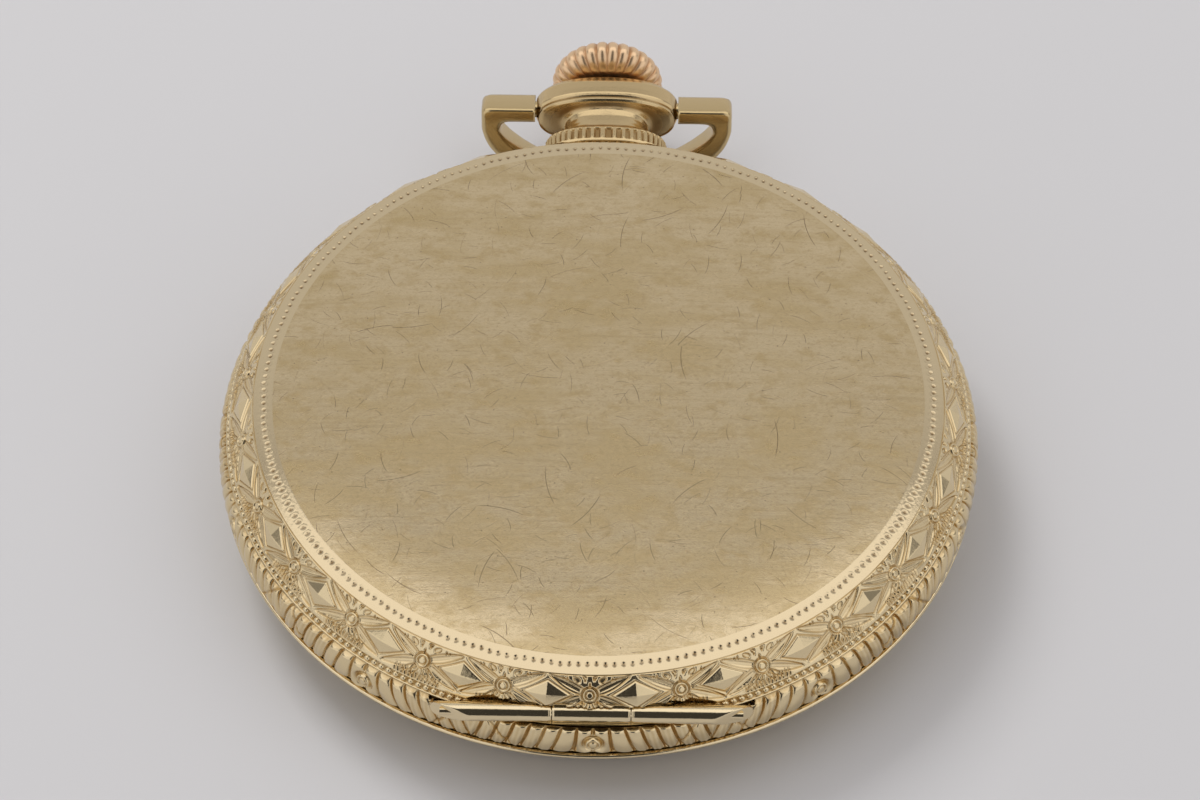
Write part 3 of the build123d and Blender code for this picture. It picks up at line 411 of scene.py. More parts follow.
def flower_relief(u, w, cell, jitter):
    """The flower band: u along the band and w down it from the groove, both in millimetres."""
    half = np.pi * FLOWER_R / FLOWERS
    middle, high, low = 1.30, 0.12, 2.42
    shift = jitter[cell]
    ru, rw = shift[..., 0] * 0.12, middle + shift[..., 1] * 0.08
    # tone is painted shade: leaf hollows, outlines, flower rings, pits and hatched ground are marked to
    # be tinted dark
    height, tone = np.zeros_like(u), np.zeros_like(u)
    for end_u, end_w, wide in (
        (-half, high, 0.27),
        (half, high, 0.27),
        (-half, low, 0.31),
        (half, low, 0.31),
    ):
        h, t = leaf(u - ru, w - rw, (0, 0), (end_u, end_w - middle), wide, 0.13)
        height, tone = height + h, np.maximum(tone, t)
    for side in (-1, 1):
        for reach, end, wide in ((0.62, 2.45, 0.17), (1.25, 2.48, 0.13)):
            tip = (side * reach, end - middle)
            h, t = leaf(u - ru, w - rw, (side * 0.12, 0.25), tip, wide, 0.10, 0.03)
            height, tone = height + 0.9 * h, np.maximum(tone, 1.1 * t)
        h, t = leaf(u - ru, w - rw, (side * 0.55, -0.75), (side * 1.05, -1.12), 0.12, 0.08, 0.02)
        height, tone = height + h, np.maximum(tone, t)
        h, t = leaf(u - ru, w - rw, (side * 0.16, -0.98), (side * 0.5, -1.18), 0.07, 0.08, 0.0)
        height, tone = height + h, np.maximum(tone, t)
    du, dw = np.abs(np.abs(u) - half), w - 1.28
    kite = du / 1.45 + np.abs(dw) / 0.82
    height += 0.10 * np.clip(1 - kite, 0, 1)
    edge = bump_at(kite - 1.0, 0.07) * (kite < 1.2)
    height -= 0.045 * edge
    tone = np.maximum(tone, 0.75 * edge)
    ring = np.hypot(u - ru, w - rw)
    flower = 0.02 * ramp(ring, 0.46, 0.36) - 0.07 * bump_at(ring - 0.25, 0.05)
    flower -= 0.09 * bump_at(ring - 0.47, 0.06)
    cover = ramp(ring, 0.62, 0.48)
    height = height * (1 - cover) + flower * (cover > 0) * ramp(ring, 0.7, 0.5)
    lines = bump_at(ring - 0.25, 0.05) + bump_at(ring - 0.47, 0.07)
    tone = tone * (1 - cover) + 0.7 * lines * (cover > 0)
    for pit_u, pit_w, long_u, long_w in (
        (0.0, -0.62, 0.05, 0.13),
        (-0.28, -0.86, 0.05, 0.09),
        (0.26, -0.92, 0.05, 0.08),
        (1.35, -0.95, 0.04, 0.10),
        (-1.35, -0.98, 0.04, 0.10),
        (1.55, -0.93, 0.04, 0.08),
        (-1.55, -0.96, 0.04, 0.08),
    ):
        pit = bump_at(u - ru - pit_u, long_u) * bump_at(w - rw - pit_w, long_w)
        height -= 0.07 * pit
        tone = np.maximum(tone, pit)
    floor = ramp(w, 1.95, 2.2) * ramp(np.abs(u), 1.7, 1.3)
    hatch = 0.5 + 0.5 * np.cos(2 * np.pi * (u * 4.2 + 0.9 * w * np.sign(u)))
    height -= 0.035 * floor * hatch
    tone = np.maximum(tone, floor * (0.35 + 0.4 * hatch))
    return height, np.clip(tone, 0, 1)


def band_relief(u, v, cell, jitter):
    """The centre band's outside: fanned lobes about a ringed boss. v runs 0 to 1 down the band."""
    shift = jitter[cell]
    a = np.abs(u + 0.15 * shift[..., 0])
    slant = 0.55 * (v - 0.1) * ramp(a, 0.4, 2.2)
    lobes = (a - slant * 1.4 - 0.95) / 0.92
    lobe = np.clip(np.abs(np.sin(np.pi * lobes)), 0, 1)
    rounded = lobe**0.55
    gap = bump_at(lobe, 0.22)
    scallop = ramp(v, 0.02, 0.16) * ramp(v, 0.98 - 0.1 * lobe, 0.80)
    height = 0.20 * rounded * scallop - 0.13 * gap
    vein = 0.5 + 0.5 * np.cos(2 * np.pi * (lobes * 3.0 + 0.8 * v))
    height -= 0.035 * vein * ramp(v, 0.15, 0.5) * ramp(a, 2.6, 3.2)
    # painted shade: gaps between lobes, the scalloped top and bottom, the veins and the boss rings are
    # marked to be tinted dark
    tone = 1.0 * gap + 0.6 * (1 - scallop) + 0.3 * vein * ramp(a, 2.6, 3.2)
    leaf_edge = np.abs(((a - 5.4) * 0.75 + (v - 0.5) * 1.5))
    height -= 0.09 * bump_at(leaf_edge, 0.09)
    tone = np.maximum(tone, bump_at(leaf_edge, 0.10))
    ring = np.hypot(u + 0.15 * shift[..., 0], (v - 0.52) * 2.5)
    boss = 0.14 * ramp(ring, 0.50, 0.38) - 0.10 * bump_at(ring - 0.28, 0.06)
    boss -= 0.12 * bump_at(ring - 0.56, 0.08)
    cover = ramp(ring, 0.85, 0.6)
    height = height * (1 - cover) + (boss + 0.05) * cover
    lines = 0.8 * bump_at(ring - 0.28, 0.06) + 0.9 * bump_at(ring - 0.56, 0.09)
    tone = tone * (1 - cover) + cover * lines
    return height, np.clip(tone, 0, 1)


def cells_of(angle, count, radius):
    """Which cell each angle falls in, and the distance from that cell's middle."""
    step = 2 * np.pi / count
    turns = (angle + np.pi / 2) / step + 0.5
    cell = np.floor(turns).astype(int)
    return cell % count, (turns - cell - 0.5) * step * radius


# ------------------------------------------------------------------ back cover
def dome_height(r):
    """Height of the back's outside, from its middle to the crease."""

    def piece(t, h, a, ma, b, mb):
        return (
            (2 * t**3 - 3 * t**2 + 1) * a
            + (t**3 - 2 * t**2 + t) * h * ma
            + (3 * t**2 - 2 * t**3) * b
            + (t**3 - t**2) * h * mb
        )

    r = np.asarray(r, float)
    inner = piece(r / 13.0, 13.0, 9.9, 0, 9.72, -0.030)
    outer = piece((r - 13.0) / 6.5, 6.5, 9.72, -0.030, CREASE_Z, -0.13)
    return np.where(r < 13, inner, outer)


dome_r = np.concatenate([[0.02], np.linspace(0.4, CREASE_R - 0.05, 70)])
lathe("back_dome", np.stack([dome_r, dome_height(dome_r)], 1), 720, M_DOME, "back")


def ring_piece():
    """The bright ring round the dome, with its row of punched marks."""
    marked = np.linspace(CREASE_R, 20.3, 22)
    radius = np.concatenate([[CREASE_R - 0.05], marked, [20.42, 20.5, 20.56, 20.60]])
    height = np.interp(radius, [CREASE_R, GROOVE_R], [CREASE_Z, GROOVE_Z])
    height[0] = dome_height(CREASE_R - 0.05)
    columns = DOTS * 14
    angle = np.linspace(0, 2 * np.pi, columns, endpoint=False)
    grid_r, grid_a = np.meshgrid(radius, angle, indexing="ij")
    step = 2 * np.pi / DOTS
    off = (np.mod(grid_a, step) - step / 2) * grid_r
    wobble = 0.03 * np.sin(grid_a * 37) + 0.02 * np.sin(grid_a * 91 + 2)
    away = grid_r - RING_R - wobble
    # painted shade: the pit depth also sets how dark the punched dots are tinted
    pit = np.exp(-(((np.abs(off) + 0.35 * np.clip(away, 0, 1)) / 0.105) ** 2) - (away / 0.115) ** 2)
    lift = bump_at(np.hypot(off, away) - 0.2, 0.06)
    z = np.repeat(height[:, None], columns, 1) - 0.055 * pit + 0.012 * lift
    points = np.stack([grid_r * np.cos(grid_a), grid_r * np.sin(grid_a), z], 2)
    build(
        "back_ring",
        points.reshape(-1, 3),
        grid_faces(len(radius), columns, True),
        M_RING,
        "back",
        pit.ravel(),
    )

ring_piece()

SIDE_PROFILE = curve(
    [(20.60, 9.07), (20.72, 8.98), (21.1, 8.50), (21.55, 7.93), (21.95, 7.35), (22.14, 7.05)], 30
)


RELIEF_GAIN = 1.7  # how much deeper the flowers are cut than their drawing


def over_hinge(x, y, z):
    """Folds the rim in over the hinge: a shelf in the middle, and a flat skirt towards the ends."""
    cut = (np.abs(x) < HINGE_HALF + 0.25) & (y < HINGE_RIM_Y) & (z < HINGE_TOP_Z)
    middle = cut & (np.abs(x) < 4.8)
    x, y, z = np.array(x), np.array(y), np.array(z)
    z[middle] = HINGE_TOP_Z
    y[middle] = np.maximum(y[middle], -np.sqrt(21.4**2 - x[middle] ** 2))
    y[cut & ~middle] = HINGE_RIM_Y
    return x, y, z


def side_piece(name, start, stop):
    """The flower band and the milled edge below it, between two angles."""
    lower = [(22.14, 7.05), (22.16, 6.97), (22.33, 6.50), (22.31, 6.45)]
    radius_a, height_a, at_a = resample(SIDE_PROFILE, 62)
    radius_b, height_b, at_b = resample(lower, 22)
    radius = np.concatenate([radius_a, radius_b[1:]])
    height = np.concatenate([height_a, height_b[1:]])
    at = np.concatenate([at_a, at_a[-1] + at_b[1:]])
    nr, nz = normals(radius, height)
    columns = BEADS * 8
    angle = np.linspace(start, stop, columns + 1)
    w, a = np.meshgrid(at, angle, indexing="ij")
    cell, u = cells_of(a, FLOWERS, FLOWER_R)
    jitter = np.random.default_rng(3).uniform(-1, 1, (FLOWERS, 2))
    relief, tone = flower_relief(u, w, cell, jitter)
    fade = ramp(w, 0.02, 0.14) * ramp(w, at_a[-1] + 0.02, at_a[-1] - 0.08)
    relief, tone = RELIEF_GAIN * relief * fade, tone * fade
    # painted shade: the groove at the top of the band and the channel round the beads are tinted dark
    groove = bump_at(w - 0.05, 0.05)
    relief -= 0.06 * groove
    tone = np.maximum(tone, 0.9 * groove)
    bead_w = at_a[-1] + 0.30
    step = 2 * np.pi / BEADS
    along = (np.mod(a, step) - step / 2) * BEAD_R
    bead = np.sqrt(np.clip(1 - (along / 0.21) ** 2 - ((w - bead_w) / 0.17) ** 2, 0, 1))
    channel = ramp(np.abs(w - bead_w), 0.26, 0.18)
    relief += -0.11 * channel + 0.19 * bead
    tone = np.maximum(tone, 0.95 * channel * (bead < 0.25))
    r = radius[:, None] + nr[:, None] * relief
    z = height[:, None] + nz[:, None] * relief
    x, y, z = over_hinge(r * np.cos(a), r * np.sin(a), z)
    build(
        name,
        np.stack([x, y, z], 2).reshape(-1, 3),
        grid_faces(len(radius), columns + 1, False),
        M_ENGRAVED,
        "back",
        tone.ravel(),
    )


side_piece("back_flowers_low", -np.pi, 0)
side_piece("back_flowers_high", 0, np.pi)


def back_inside():
    """The back's smooth inside and its cut rim over the hinge."""
    rim = [(22.31, 6.45), (21.47, 6.45), (21.45, 6.5), (21.45, 6.95)]
    hollow = [(21.45, 6.95), (21.05, 7.85), (20.35, 8.60), (19.3, 8.88), (13.0, 9.24), (0.02, 9.42)]
    profile = np.vstack([rim, curve(hollow, 14)])
    radius, height = profile[:, 0], profile[:, 1]
    angle = np.linspace(0, 2 * np.pi, 1440, endpoint=False)
    r, a = np.meshgrid(radius, angle, indexing="ij")
    z = np.repeat(height[:, None], len(angle), 1)
    x, y, z = over_hinge(r * np.cos(a), r * np.sin(a), z)
    points = np.stack([x, y, z], 2)
    made = build(
        "back_inside",
        points.reshape(-1, 3),
        grid_faces(len(radius), len(angle), True),
        M_PLAIN,
        "back",
    )
    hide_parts("back_cover")


back_inside()


# ------------------------------------------------------------------ hinge of the back
KNUCKLE_ROUND = 0.55  # length of the rounding at the hinge's two ends
KNUCKLE_LIMIT_R = 23.28  # the tubes are cut round to this radius from the case's axis


def knuckle(name, low, high, body, outer_end=0):
    """One polished tube of the hinge. outer_end (-1 or 1) rounds the end at the case's edge."""
    lengths = np.linspace(low, high, 60)
    if outer_end:
        bevel = HINGE_HALF - KNUCKLE_ROUND * (1 - np.linspace(0, 1, 16)) ** 2
        plain_part = lengths[np.abs(lengths) < HINGE_HALF - KNUCKLE_ROUND - 0.01]
        lengths = np.sort(np.concatenate([plain_part, outer_end * bevel]))
    around = np.linspace(0, 2 * np.pi, 72, endpoint=False)
    x, a = np.meshgrid(lengths, around, indexing="ij")
    near_end = 0 * x
    if outer_end:
        near_end = np.clip((np.abs(x) - (HINGE_HALF - KNUCKLE_ROUND)) / KNUCKLE_ROUND, 0, 1)
    radius = HINGE_R * np.sqrt(np.clip(1 - near_end**3, 0.02, 1))
    gap = np.minimum(np.abs(x - low), np.abs(x - high))
    radius = radius - 0.05 * bump_at(gap, 0.05)
    y = np.maximum(HINGE_Y + radius * np.cos(a), -np.sqrt(KNUCKLE_LIMIT_R**2 - x**2))
    z = HINGE_Z + radius * np.sin(a)
    points = np.stack([x, y, z], 2).reshape(-1, 3)
    faces = grid_faces(len(lengths), len(around), True)
    n = len(around)
    faces.append(list(range(n)))
    faces.append(list(range((len(lengths) - 1) * n, len(lengths) * n))[::-1])
    return build(name, points, faces, M_BRIGHT, body)


knuckle("knuckle_left", -HINGE_HALF, -KNUCKLE_HALF - 0.03, "case", -1)
knuckle("knuckle_right", KNUCKLE_HALF + 0.03, HINGE_HALF, "case", 1)
knuckle("knuckle_middle", -KNUCKLE_HALF + 0.03, KNUCKLE_HALF - 0.03, "back")


def hinge_leaf():
    """The leaf that joins the middle knuckle to the cover."""
    corners = [(x, y, z) for z in (7.0, 7.6) for y in (-21.65, -21.3) for x in (-2.2, 2.2)]
    faces = [[0, 1, 5, 4], [2, 6, 7, 3], [0, 4, 6, 2], [1, 3, 7, 5], [4, 5, 7, 6], [0, 2, 3, 1]]
    build("hinge_leaf", corners, faces, M_BRIGHT, "back", smooth=False)


hinge_leaf()

# ------------------------------------------------------------------ centre band
BAND_PROFILE = curve(
    [
        (22.27, 6.36),
        (22.42, 6.15),
        (22.62, 5.65),
        (22.68, 5.1),
        (22.62, 4.5),
        (22.48, 4.05),
        (22.40, 3.97),
    ],
    12,
)
BAND_CELLS = 10


def band_piece(name, start, stop):
    """The engraved outside of the centre band, between two angles."""
    radius, height, at = resample(BAND_PROFILE, 52)
    nr, nz = normals(radius, height)
    columns = 2100
    angle = np.linspace(start, stop, columns + 1)
    v, a = np.meshgrid(at / at[-1], angle, indexing="ij")
    cell, u = cells_of(a, BAND_CELLS, BAND_R)
    jitter = np.random.default_rng(11).uniform(-1, 1, (BAND_CELLS, 2))
    relief, tone = band_relief(u, v, cell, jitter)
    fade = ramp(v, 0.0, 0.07) * ramp(v, 1.0, 0.94)
    relief = relief * fade - 0.06
    # painted shade: a dark line is painted along the band's top and bottom edges, where the engraving
    # fades out
    tone = np.maximum(tone * fade, 0.8 * (1 - fade))
    r = radius[:, None] + nr[:, None] * relief
    z = height[:, None] + nz[:, None] * relief
    points = np.stack([r * np.cos(a), r * np.sin(a), z], 2)
    x, y = points[..., 0], points[..., 1]
    seat = (np.abs(x) < HINGE_HALF + 0.05) & (y < 0) & (z > 6.12)
    points[..., 2][seat] = 6.12
    return build(
        name,
        points.reshape(-1, 3),
        grid_faces(len(radius), columns + 1, False),
        M_ENGRAVED,
        "case",
        tone.ravel(),
    )


band_piece("band_engraving_low", -np.pi, 0)
band_piece("band_engraving_high", 0, np.pi)

BAND_INSIDE = [
    (22.40, 3.97),
    (21.42, 3.95),
    (21.40, 3.93),
    (21.40, 3.32),
    (21.38, 3.30),
    (20.0, 3.30),
    (20.0, 4.55),
    (19.3, 4.55),
    (19.3, 5.05),
    (20.3, 5.05),
    (20.3, 6.88),
    (20.32, 6.90),
    (21.38, 6.90),
    (21.40, 6.88),
    (21.40, 6.41),
    (21.42, 6.40),
    (22.27, 6.36),
]
inside = lathe("band_inside", BAND_INSIDE, 720, M_PLAIN, "case")
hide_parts("centre_band")

# ------------------------------------------------------------------ front bezel
BEZEL_PROFILE = [
    *curve([(22.58, 3.62), (21.85, 2.68), (21.1, 1.78), (20.45, 0.88), (19.78, 0.31)], 10).tolist(),
    (19.70, 0.30),
    (19.10, 0.30),
    (19.05, 0.34),
    (19.05, 0.6),
    (19.45, 0.6),
    (19.45, 1.45),
    (19.05, 1.45),
    (19.05, 2.5),
    (20.0, 2.5),
    (20.0, 3.2),
    (21.45, 3.2),
    (21.45, 3.88),
    (21.47, 3.90),
    (22.52, 3.90),
    (22.60, 3.88),
    (22.645, 3.82),
    (22.65, 3.74),
    (22.63, 3.66),
]
bezel = lathe("bezel_ring", BEZEL_PROFILE, 900, M_BRIGHT, "bezel", closed=True)
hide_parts("front_bezel")

# ------------------------------------------------------------------ pendant
PENDANT_LINE = np.array(
    [  # distance out, half width, half thickness
        (22.78, 3.50, 1.48),
        (22.86, 3.66, 1.60),
        (23.00, 3.74, 1.66),
        (23.20, 3.78, 1.68),
        (23.75, 3.78, 1.68),
        (23.95, 3.66, 1.64),
        (24.06, 3.40, 1.60),
        (24.12, 2.95, 1.58),
        (24.28, 2.66, 1.56),
        (24.60, 2.50, 1.56),
        (25.00, 2.45, 1.58),
        (25.35, 2.55, 1.64),
        (25.58, 2.95, 1.76),
        (25.70, 3.55, 1.90),
        (25.78, 4.00, 2.02),
        (25.90, 4.26, 2.10),
        (26.02, 4.27, 2.08),
        (26.10, 4.14, 2.02),
        (26.18, 4.30, 2.10),
        (26.34, 4.42, 2.18),
        (26.80, 4.43, 2.20),
        (27.30, 4.42, 2.19),
        (27.46, 4.32, 2.15),
        (27.54, 4.14, 2.06),
        (27.62, 4.10, 2.04),
        (27.72, 4.02, 2.02),
        (27.84, 3.80, 1.95),
        (27.88, 3.40, 1.75),
        (27.88, 1.30, 1.30),
        (27.60, 1.12, 1.12),
    ]
)


def pendant_piece():
    """The oval pendant: milled collar at the case, neck, and moulded head."""
    t = np.arange(len(PENDANT_LINE))
    fine = np.linspace(0, len(t) - 1, 5 * len(t) - 4)
    y0 = np.interp(fine, t, PENDANT_LINE[:, 0])
    wide = np.interp(fine, t, PENDANT_LINE[:, 1])
    thick = np.interp(fine, t, PENDANT_LINE[:, 2])
    slots = 44
    around = np.linspace(0, 2 * np.pi, slots * 16, endpoint=False)
    y, a = np.meshgrid(y0, around, indexing="ij")
    power = 0.86
    cos_a, sin_a = np.cos(a), np.sin(a)
    cx = np.sign(cos_a) * np.abs(cos_a) ** power
    cz = np.sign(sin_a) * np.abs(sin_a) ** power
    collar = ramp(y, 23.02, 23.12) * ramp(y, 23.90, 23.78)
    tooth = np.clip(np.sin(a * slots) * 1.6 + 0.2, 0, 1)
    cut = collar * (1 - tooth)
    x = wide[:, None] * cx * (1 - 0.07 * cut)
    z = PIVOT_Z + thick[:, None] * cz * (1 - 0.10 * cut)
    creases = bump_at(y - 24.1, 0.1) + bump_at(y - 26.1, 0.05) + bump_at(y - 25.6, 0.12)
    # painted shade: the milled slots of the collar and the creases of the head are tinted dark
    recess_shade = np.clip(cut + creases, 0, 1)
    made = build(
        "pendant_moulding",
        np.stack([x, y, z], 2).reshape(-1, 3),
        grid_faces(len(y0), len(around), True),
        M_PENDANT,
        "case",
        recess_shade.ravel(),
    )
    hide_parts("pendant")

pendant_piece()


# ------------------------------------------------------------------ crown
def crown_piece():
    """The fluted crown, a melon shape with rounded ribs and a plain button at its end."""
    line = curve(
        [
            (1.2, 28.10),
            (2.0, 28.12),
            (2.75, 28.27),
            (3.28, 28.66),
            (3.45, 29.12),
            (3.27, 29.60),
            (2.78, 30.02),
            (2.0, 30.34),
            (1.1, 30.53),
            (0.45, 30.59),
            (0.02, 30.6),
        ],
        8,
    )
    radius, out = line[:, 0], line[:, 1]
    flutes = 28
    around = np.linspace(0, 2 * np.pi, flutes * 16, endpoint=False)
    r, a = np.meshgrid(radius, around, indexing="ij")
    y = np.repeat(out[:, None], len(around), 1)
    rib = np.abs(np.sin(a * flutes / 2))
    depth = 0.22 * ramp(r, 1.3, 3.0) * ramp(y, 27.9, 28.14)
    cut = 1 - rib**0.55
    r2 = r - depth * cut
    y2 = y - 0.07 * cut * ramp(r, 1.2, 2.4) * ramp(y, 29.3, 30.0)
    points = np.stack([r2 * np.cos(a), y2, PIVOT_Z + r2 * np.sin(a)], 2)
    # painted shade: the hollows between the flutes are tinted dark
    recess_shade = np.clip(0.75 * bump_at(rib, 0.45) * ramp(r, 1.2, 2.6), 0, 1)
    made = build(
        "crown_flutes",
        points.reshape(-1, 3),
        grid_faces(len(radius), len(around), True),
        M_CROWN,
        "crown",
        recess_shade.ravel(),
    )
    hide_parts("crown")


crown_piece()


# ------------------------------------------------------------------ bow
def bow_piece():
    """The stirrup bow, a rounded bar between an outer and an inner outline."""
    outer_half = np.vstack(
        [
            [(4.48, -0.58), (5.2, -0.58), (6.2, -0.58), (7.3, -0.58)],
            curve([(7.45, -0.57), (7.74, -0.44), (7.85, -0.15)], 5),
            [(7.85, 0.2), (7.85, 0.6), (7.85, 0.9)],
            curve(
                [
                    (7.83, 1.15),
                    (7.62, 1.85),
                    (7.2, 2.6),
                    (6.2, 3.6),
                    (4.2, 4.48),
                    (2.1, 4.94),
                    (0, 5.08),
                ],
                7,
            ),
        ]
    )
    inner_half = np.vstack(
        [
            [(4.48, 0.47), (5.0, 0.47), (5.7, 0.47), (6.1, 0.48)],
            curve([(6.3, 0.52), (6.55, 0.72), (6.63, 1.15), (6.35, 1.65), (5.9, 2.12)], 5),
            curve([(5.1, 2.75), (4.1, 3.37), (2.8, 3.9), (1.4, 4.25), (0, 4.36)], 8),
        ]
    )

    def both(half_line, count):
        x, d, _ = resample(half_line, count)
        right = np.stack([x, d], 1)
        left = right[:-1] * (-1, 1)
        return np.vstack([right, left[::-1]])

    outer, inner = both(outer_half, 90), both(inner_half, 90)
    share = np.linspace(0, 1, 19)
    share = 0.5 - 0.5 * np.cos(np.pi * share)
    bulge = (1 - np.abs(2 * share - 1) ** 5) ** (1 / 5)
    ring_share = np.concatenate([share, share[::-1][1:-1]])
    ring_height = np.concatenate([bulge, -bulge[::-1][1:-1]])
    plan = inner[:, None, :] + (outer - inner)[:, None, :] * ring_share[None, :, None]
    height = np.repeat(ring_height[None, :], len(outer), 0)
    x, d = plan[..., 0], plan[..., 1]
    y = PIVOT_Y - d * math.cos(BOW_FOLD) + height * math.sin(BOW_FOLD)
    z = PIVOT_Z - d * math.sin(BOW_FOLD) - height * math.cos(BOW_FOLD)
    points = np.stack([x, y, z], 2).reshape(-1, 3)
    n = len(ring_share)
    faces = grid_faces(len(outer), n, True)
    faces.append(list(range(n)))
    faces.append(list(range((len(outer) - 1) * n, len(outer) * n))[::-1])
    made = build("bow_stirrup", points, faces, M_BOW, "bow")
    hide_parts("bow")


def bow_pin(name, side):
    """One of the two round pins that the bow turns on, in the pendant's sockets."""
    line = [(0.02, 3.36), (0.44, 3.36), (0.5, 3.42), (0.5, 4.55)]
    around = np.linspace(0, 2 * np.pi, 48, endpoint=False)
    points = [
        (side * x, PIVOT_Y + r * math.cos(a), PIVOT_Z + r * math.sin(a)) for r, x in line for a in around
    ]
    build(name, points, grid_faces(len(line), len(around), True), M_BOW, "bow")


bow_piece()
bow_pin("bow_pin_left", -1)
bow_pin("bow_pin_right", 1)


# ------------------------------------------------------------------ dial print
def flat_text(text, size, x, y, name):
    """One numeral, facing the crystal."""
    data = bpy.data.curves.new(name, "FONT")
    data.body = text
    data.size = size * MM
    data.align_x = "CENTER"
    data.align_y = "CENTER"
    data.extrude = 0.008 * MM
    data.resolution_u = 6
    made = bpy.data.objects.new(name, data)
    bpy.context.scene.collection.objects.link(made)
    made.location = (x * MM, y * MM, 2.587 * MM)
    made.rotation_euler = (0, math.pi, 0)
    bpy.context.view_layer.update()
    mesh = bpy.data.meshes.new_from_object(made.evaluated_get(bpy.context.evaluated_depsgraph_get()))
    mesh.transform(made.matrix_world)
    bpy.data.objects.remove(made)
    return mesh


def dial_print():
    """Numerals and tracks of the dial and of the seconds circle, as one thin layer."""
    points, faces = [], []

    def bar(angle, inner, outer, width, centre=(0, 0), z=2.592):
        out = np.array([math.sin(angle), math.cos(angle)])
        side = np.array([out[1], -out[0]]) * width / 2
        base = len(points)
        for reach, sign in ((inner, 1), (inner, -1), (outer, -1), (outer, 1)):
            x, y = np.array(centre) + out * reach + side * sign
            points.append((x, y, z))
        faces.append([base, base + 1, base + 2, base + 3])

    for tick in range(60):
        major = tick % 5 == 0
        bar(tick * math.pi / 30, 17.3 if major else 17.6, 18.3, 0.34 if major else 0.12)
        bar(tick * math.pi / 30, 3.3 if major else 3.5, 3.9, 0.14 if major else 0.06, (0, -8.6), 2.692)
    for radius, centre, z in ((18.3, (0, 0), 2.592), (17.6, (0, 0), 2.592), (3.9, (0, -8.6), 2.692)):
        for i in range(240):
            a0, a1 = i * math.pi / 120, (i + 1) * math.pi / 120
            base = len(points)
            for a, r in ((a0, radius), (a1, radius), (a1, radius + 0.07), (a0, radius + 0.07)):
                points.append((centre[0] + r * math.sin(a), centre[1] + r * math.cos(a), z))
            faces.append([base, base + 1, base + 2, base + 3])
    made = build("dial_tracks", points, faces, M_INK, "case", smooth=False)
    for hour in range(1, 13):
        if hour == 6:
            continue
        angle = hour * math.pi / 6
        # seen from the crystal, clockwise runs towards -X
        x, y = -14.4 * math.sin(angle), 14.4 * math.cos(angle)
        mesh = flat_text(str(hour), 4.3, x, y, f"hour_{hour}")
        mesh.materials.clear()
        mesh.materials.append(M_INK)
        numeral = bpy.data.objects.new(f"numeral_{hour}", mesh)
        bpy.context.scene.collection.objects.link(numeral)
        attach(numeral, "case")
    return made


dial_print()

# ------------------------------------------------------------------ floor and light
FLOOR_Z = 0.0


def floor_piece():
    """A wide pale table top."""
    mesh = bpy.data.meshes.new("table_top")
    size = 3.0
    mesh.from_pydata(
        [(-size, -size, FLOOR_Z), (size, -size, FLOOR_Z), (size, size, FLOOR_Z), (-size, size, FLOOR_Z)],
        [],
        [[0, 1, 2, 3]],
    )
    shader = Shader("pale_paper")
    shader.surface.inputs["Base Color"].default_value = (0.605, 0.598, 0.605, 1)
    shader.surface.inputs["Roughness"].default_value = 0.7
    shader.surface.inputs["Specular IOR Level"].default_value = 0.15
    mesh.materials.append(shader.material)
    made = bpy.data.objects.new("table_top", mesh)
    bpy.context.scene.collection.objects.link(made)


floor_piece()


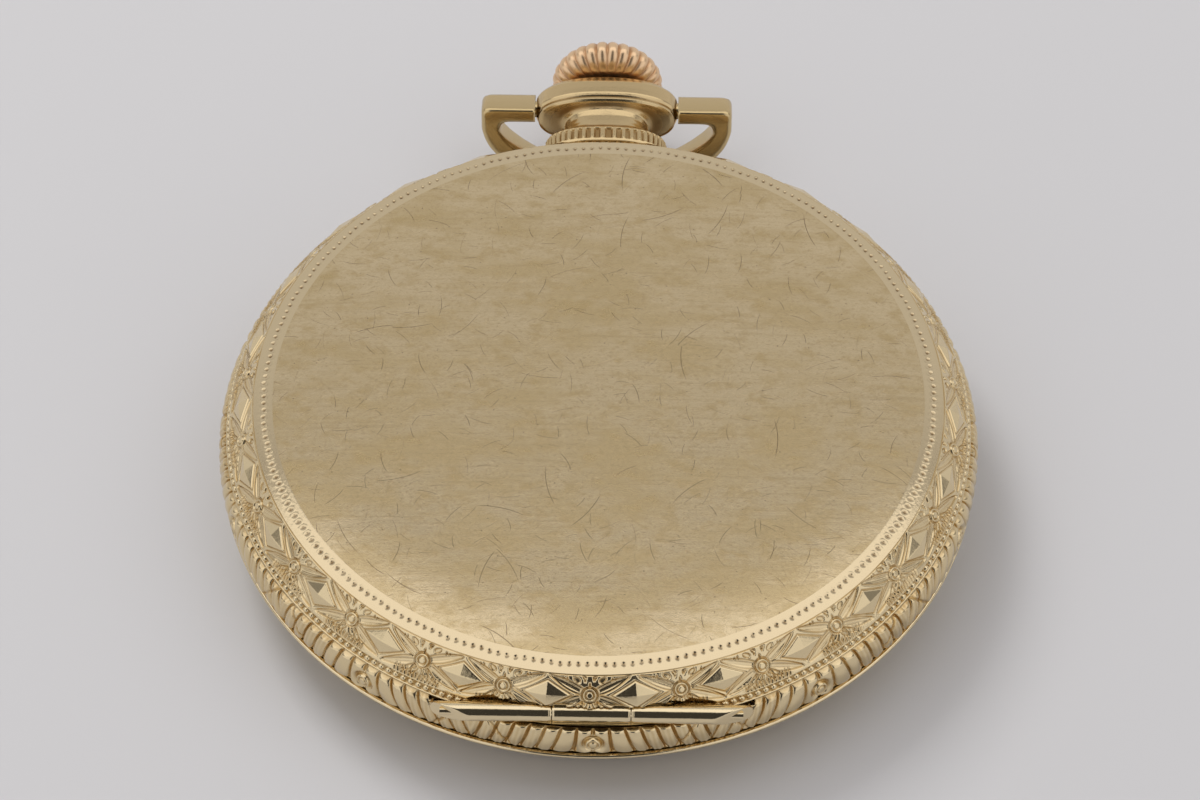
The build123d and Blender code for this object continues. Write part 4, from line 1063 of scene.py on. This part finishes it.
def studio_world():
    """Light by direction: an overhead softbox, a dim far wall, a dark strip at the camera.

    fore is how far a direction leans towards +Y for each unit up, and side how far it leans
    either way along X.
    """
    world = bpy.data.worlds.new("studio")
    bpy.context.scene.world = world
    world.use_nodes = True
    tree = world.node_tree
    tree.nodes.clear()
    shader = Shader("studio", tree)
    output = shader.node("OutputWorld")
    background = shader.node("Background")
    shader.link(background.outputs[0], output.inputs[0])
    source = shader.node("TexCoord")
    split = shader.node("SeparateXYZ")
    shader.link(source.outputs["Generated"], split.inputs[0])
    x, y, z = split.outputs
    up = shader.math("MAXIMUM", z, 0.02)
    fore = shader.math("DIVIDE", y, up)
    side = shader.math("DIVIDE", shader.math("ABSOLUTE", x), up)
    beyond_camera = shader.span(fore, -0.30, -0.16, 0, 1)
    camera_half = shader.span(fore, -0.30, -0.16, 1, 0)
    above = shader.math("MULTIPLY", shader.span(fore, 0.60, 0.65, 1, 0), beyond_camera)
    above = shader.math("MULTIPLY", above, shader.span(side, 1.1, 1.5, 1, 0))
    slit = shader.math(
        "MULTIPLY",
        shader.span(shader.math("ABSOLUTE", shader.math("SUBTRACT", fore, 0.475)), 0.012, 0.035, 1, 0),
        shader.span(side, 0.05, 0.10, 1, 0),
    )
    far = shader.span(fore, 0.62, 0.80, 0.26, 0.58)
    far = shader.math("ADD", far, shader.span(fore, 0.83, 1.1, 0, 0.07))
    far = shader.math("ADD", far, shader.span(fore, 1.1, 6.0, 0, 0.05))
    in_line = shader.span(shader.math("ABSOLUTE", x), 0.24, 0.31, 1, 0)
    camera_side = shader.math("MULTIPLY", camera_half, in_line)
    near = shader.math("MULTIPLY", camera_half, 0.85)
    value = shader.math("MULTIPLY", far, beyond_camera)
    value = shader.math("ADD", value, near)
    value = shader.math("ADD", value, shader.math("MULTIPLY", above, 0.88))
    for shade, depth in ((camera_side, 0.95), (slit, 0.85)):
        kept = shader.math("SUBTRACT", 1.0, shader.math("MULTIPLY", shade, depth))
        value = shader.math("MULTIPLY", value, kept)
    shader.link(value, background.inputs["Strength"])
    background.inputs["Color"].default_value = (1.0, 0.985, 0.99, 1)


studio_world()


def area(name, place, aim, size, power, colour=(1, 1, 1)):
    """A soft lamp aimed at a point, both in millimetres."""
    data = bpy.data.lights.new(name, "AREA")
    data.energy = power
    data.size = size * MM
    data.color = colour
    lamp = bpy.data.objects.new(name, data)
    bpy.context.scene.collection.objects.link(lamp)
    lamp.location = Vector(place) * MM
    lamp.rotation_euler = (Vector(aim) - Vector(place)).to_track_quat("-Z", "Y").to_euler()
    lamp.visible_glossy = False
    return lamp


area("key", (-260, 330, 520), (0, 0, 0), 260, 1.6)

# ------------------------------------------------------------------ camera
ELEVATION, YAW, DISTANCE = math.radians(50.34), math.radians(1.1), 400.0
camera_data = bpy.data.cameras.new("camera")
camera = bpy.data.objects.new("camera", camera_data)
bpy.context.scene.collection.objects.link(camera)
bpy.context.scene.camera = camera
target = Vector((0.0, 0.0, RING_Z))
away = Vector(
    (
        math.sin(YAW) * math.cos(ELEVATION),
        -math.cos(YAW) * math.cos(ELEVATION),
        math.sin(ELEVATION),
    )
)
camera.location = (target + away * DISTANCE) * MM
camera.rotation_euler = (-away).to_track_quat("-Z", "Y").to_euler()
camera_data.sensor_width = 36
camera_data.lens = 201.1
camera_data.shift_x = 0.0012
camera_data.shift_y = -0.0012
camera_data.clip_start = 0.01
camera_data.clip_end = 20

scene = bpy.context.scene
scene.view_settings.view_transform = "Standard"
scene.view_settings.look = "None"
scene.view_settings.exposure = 0.0
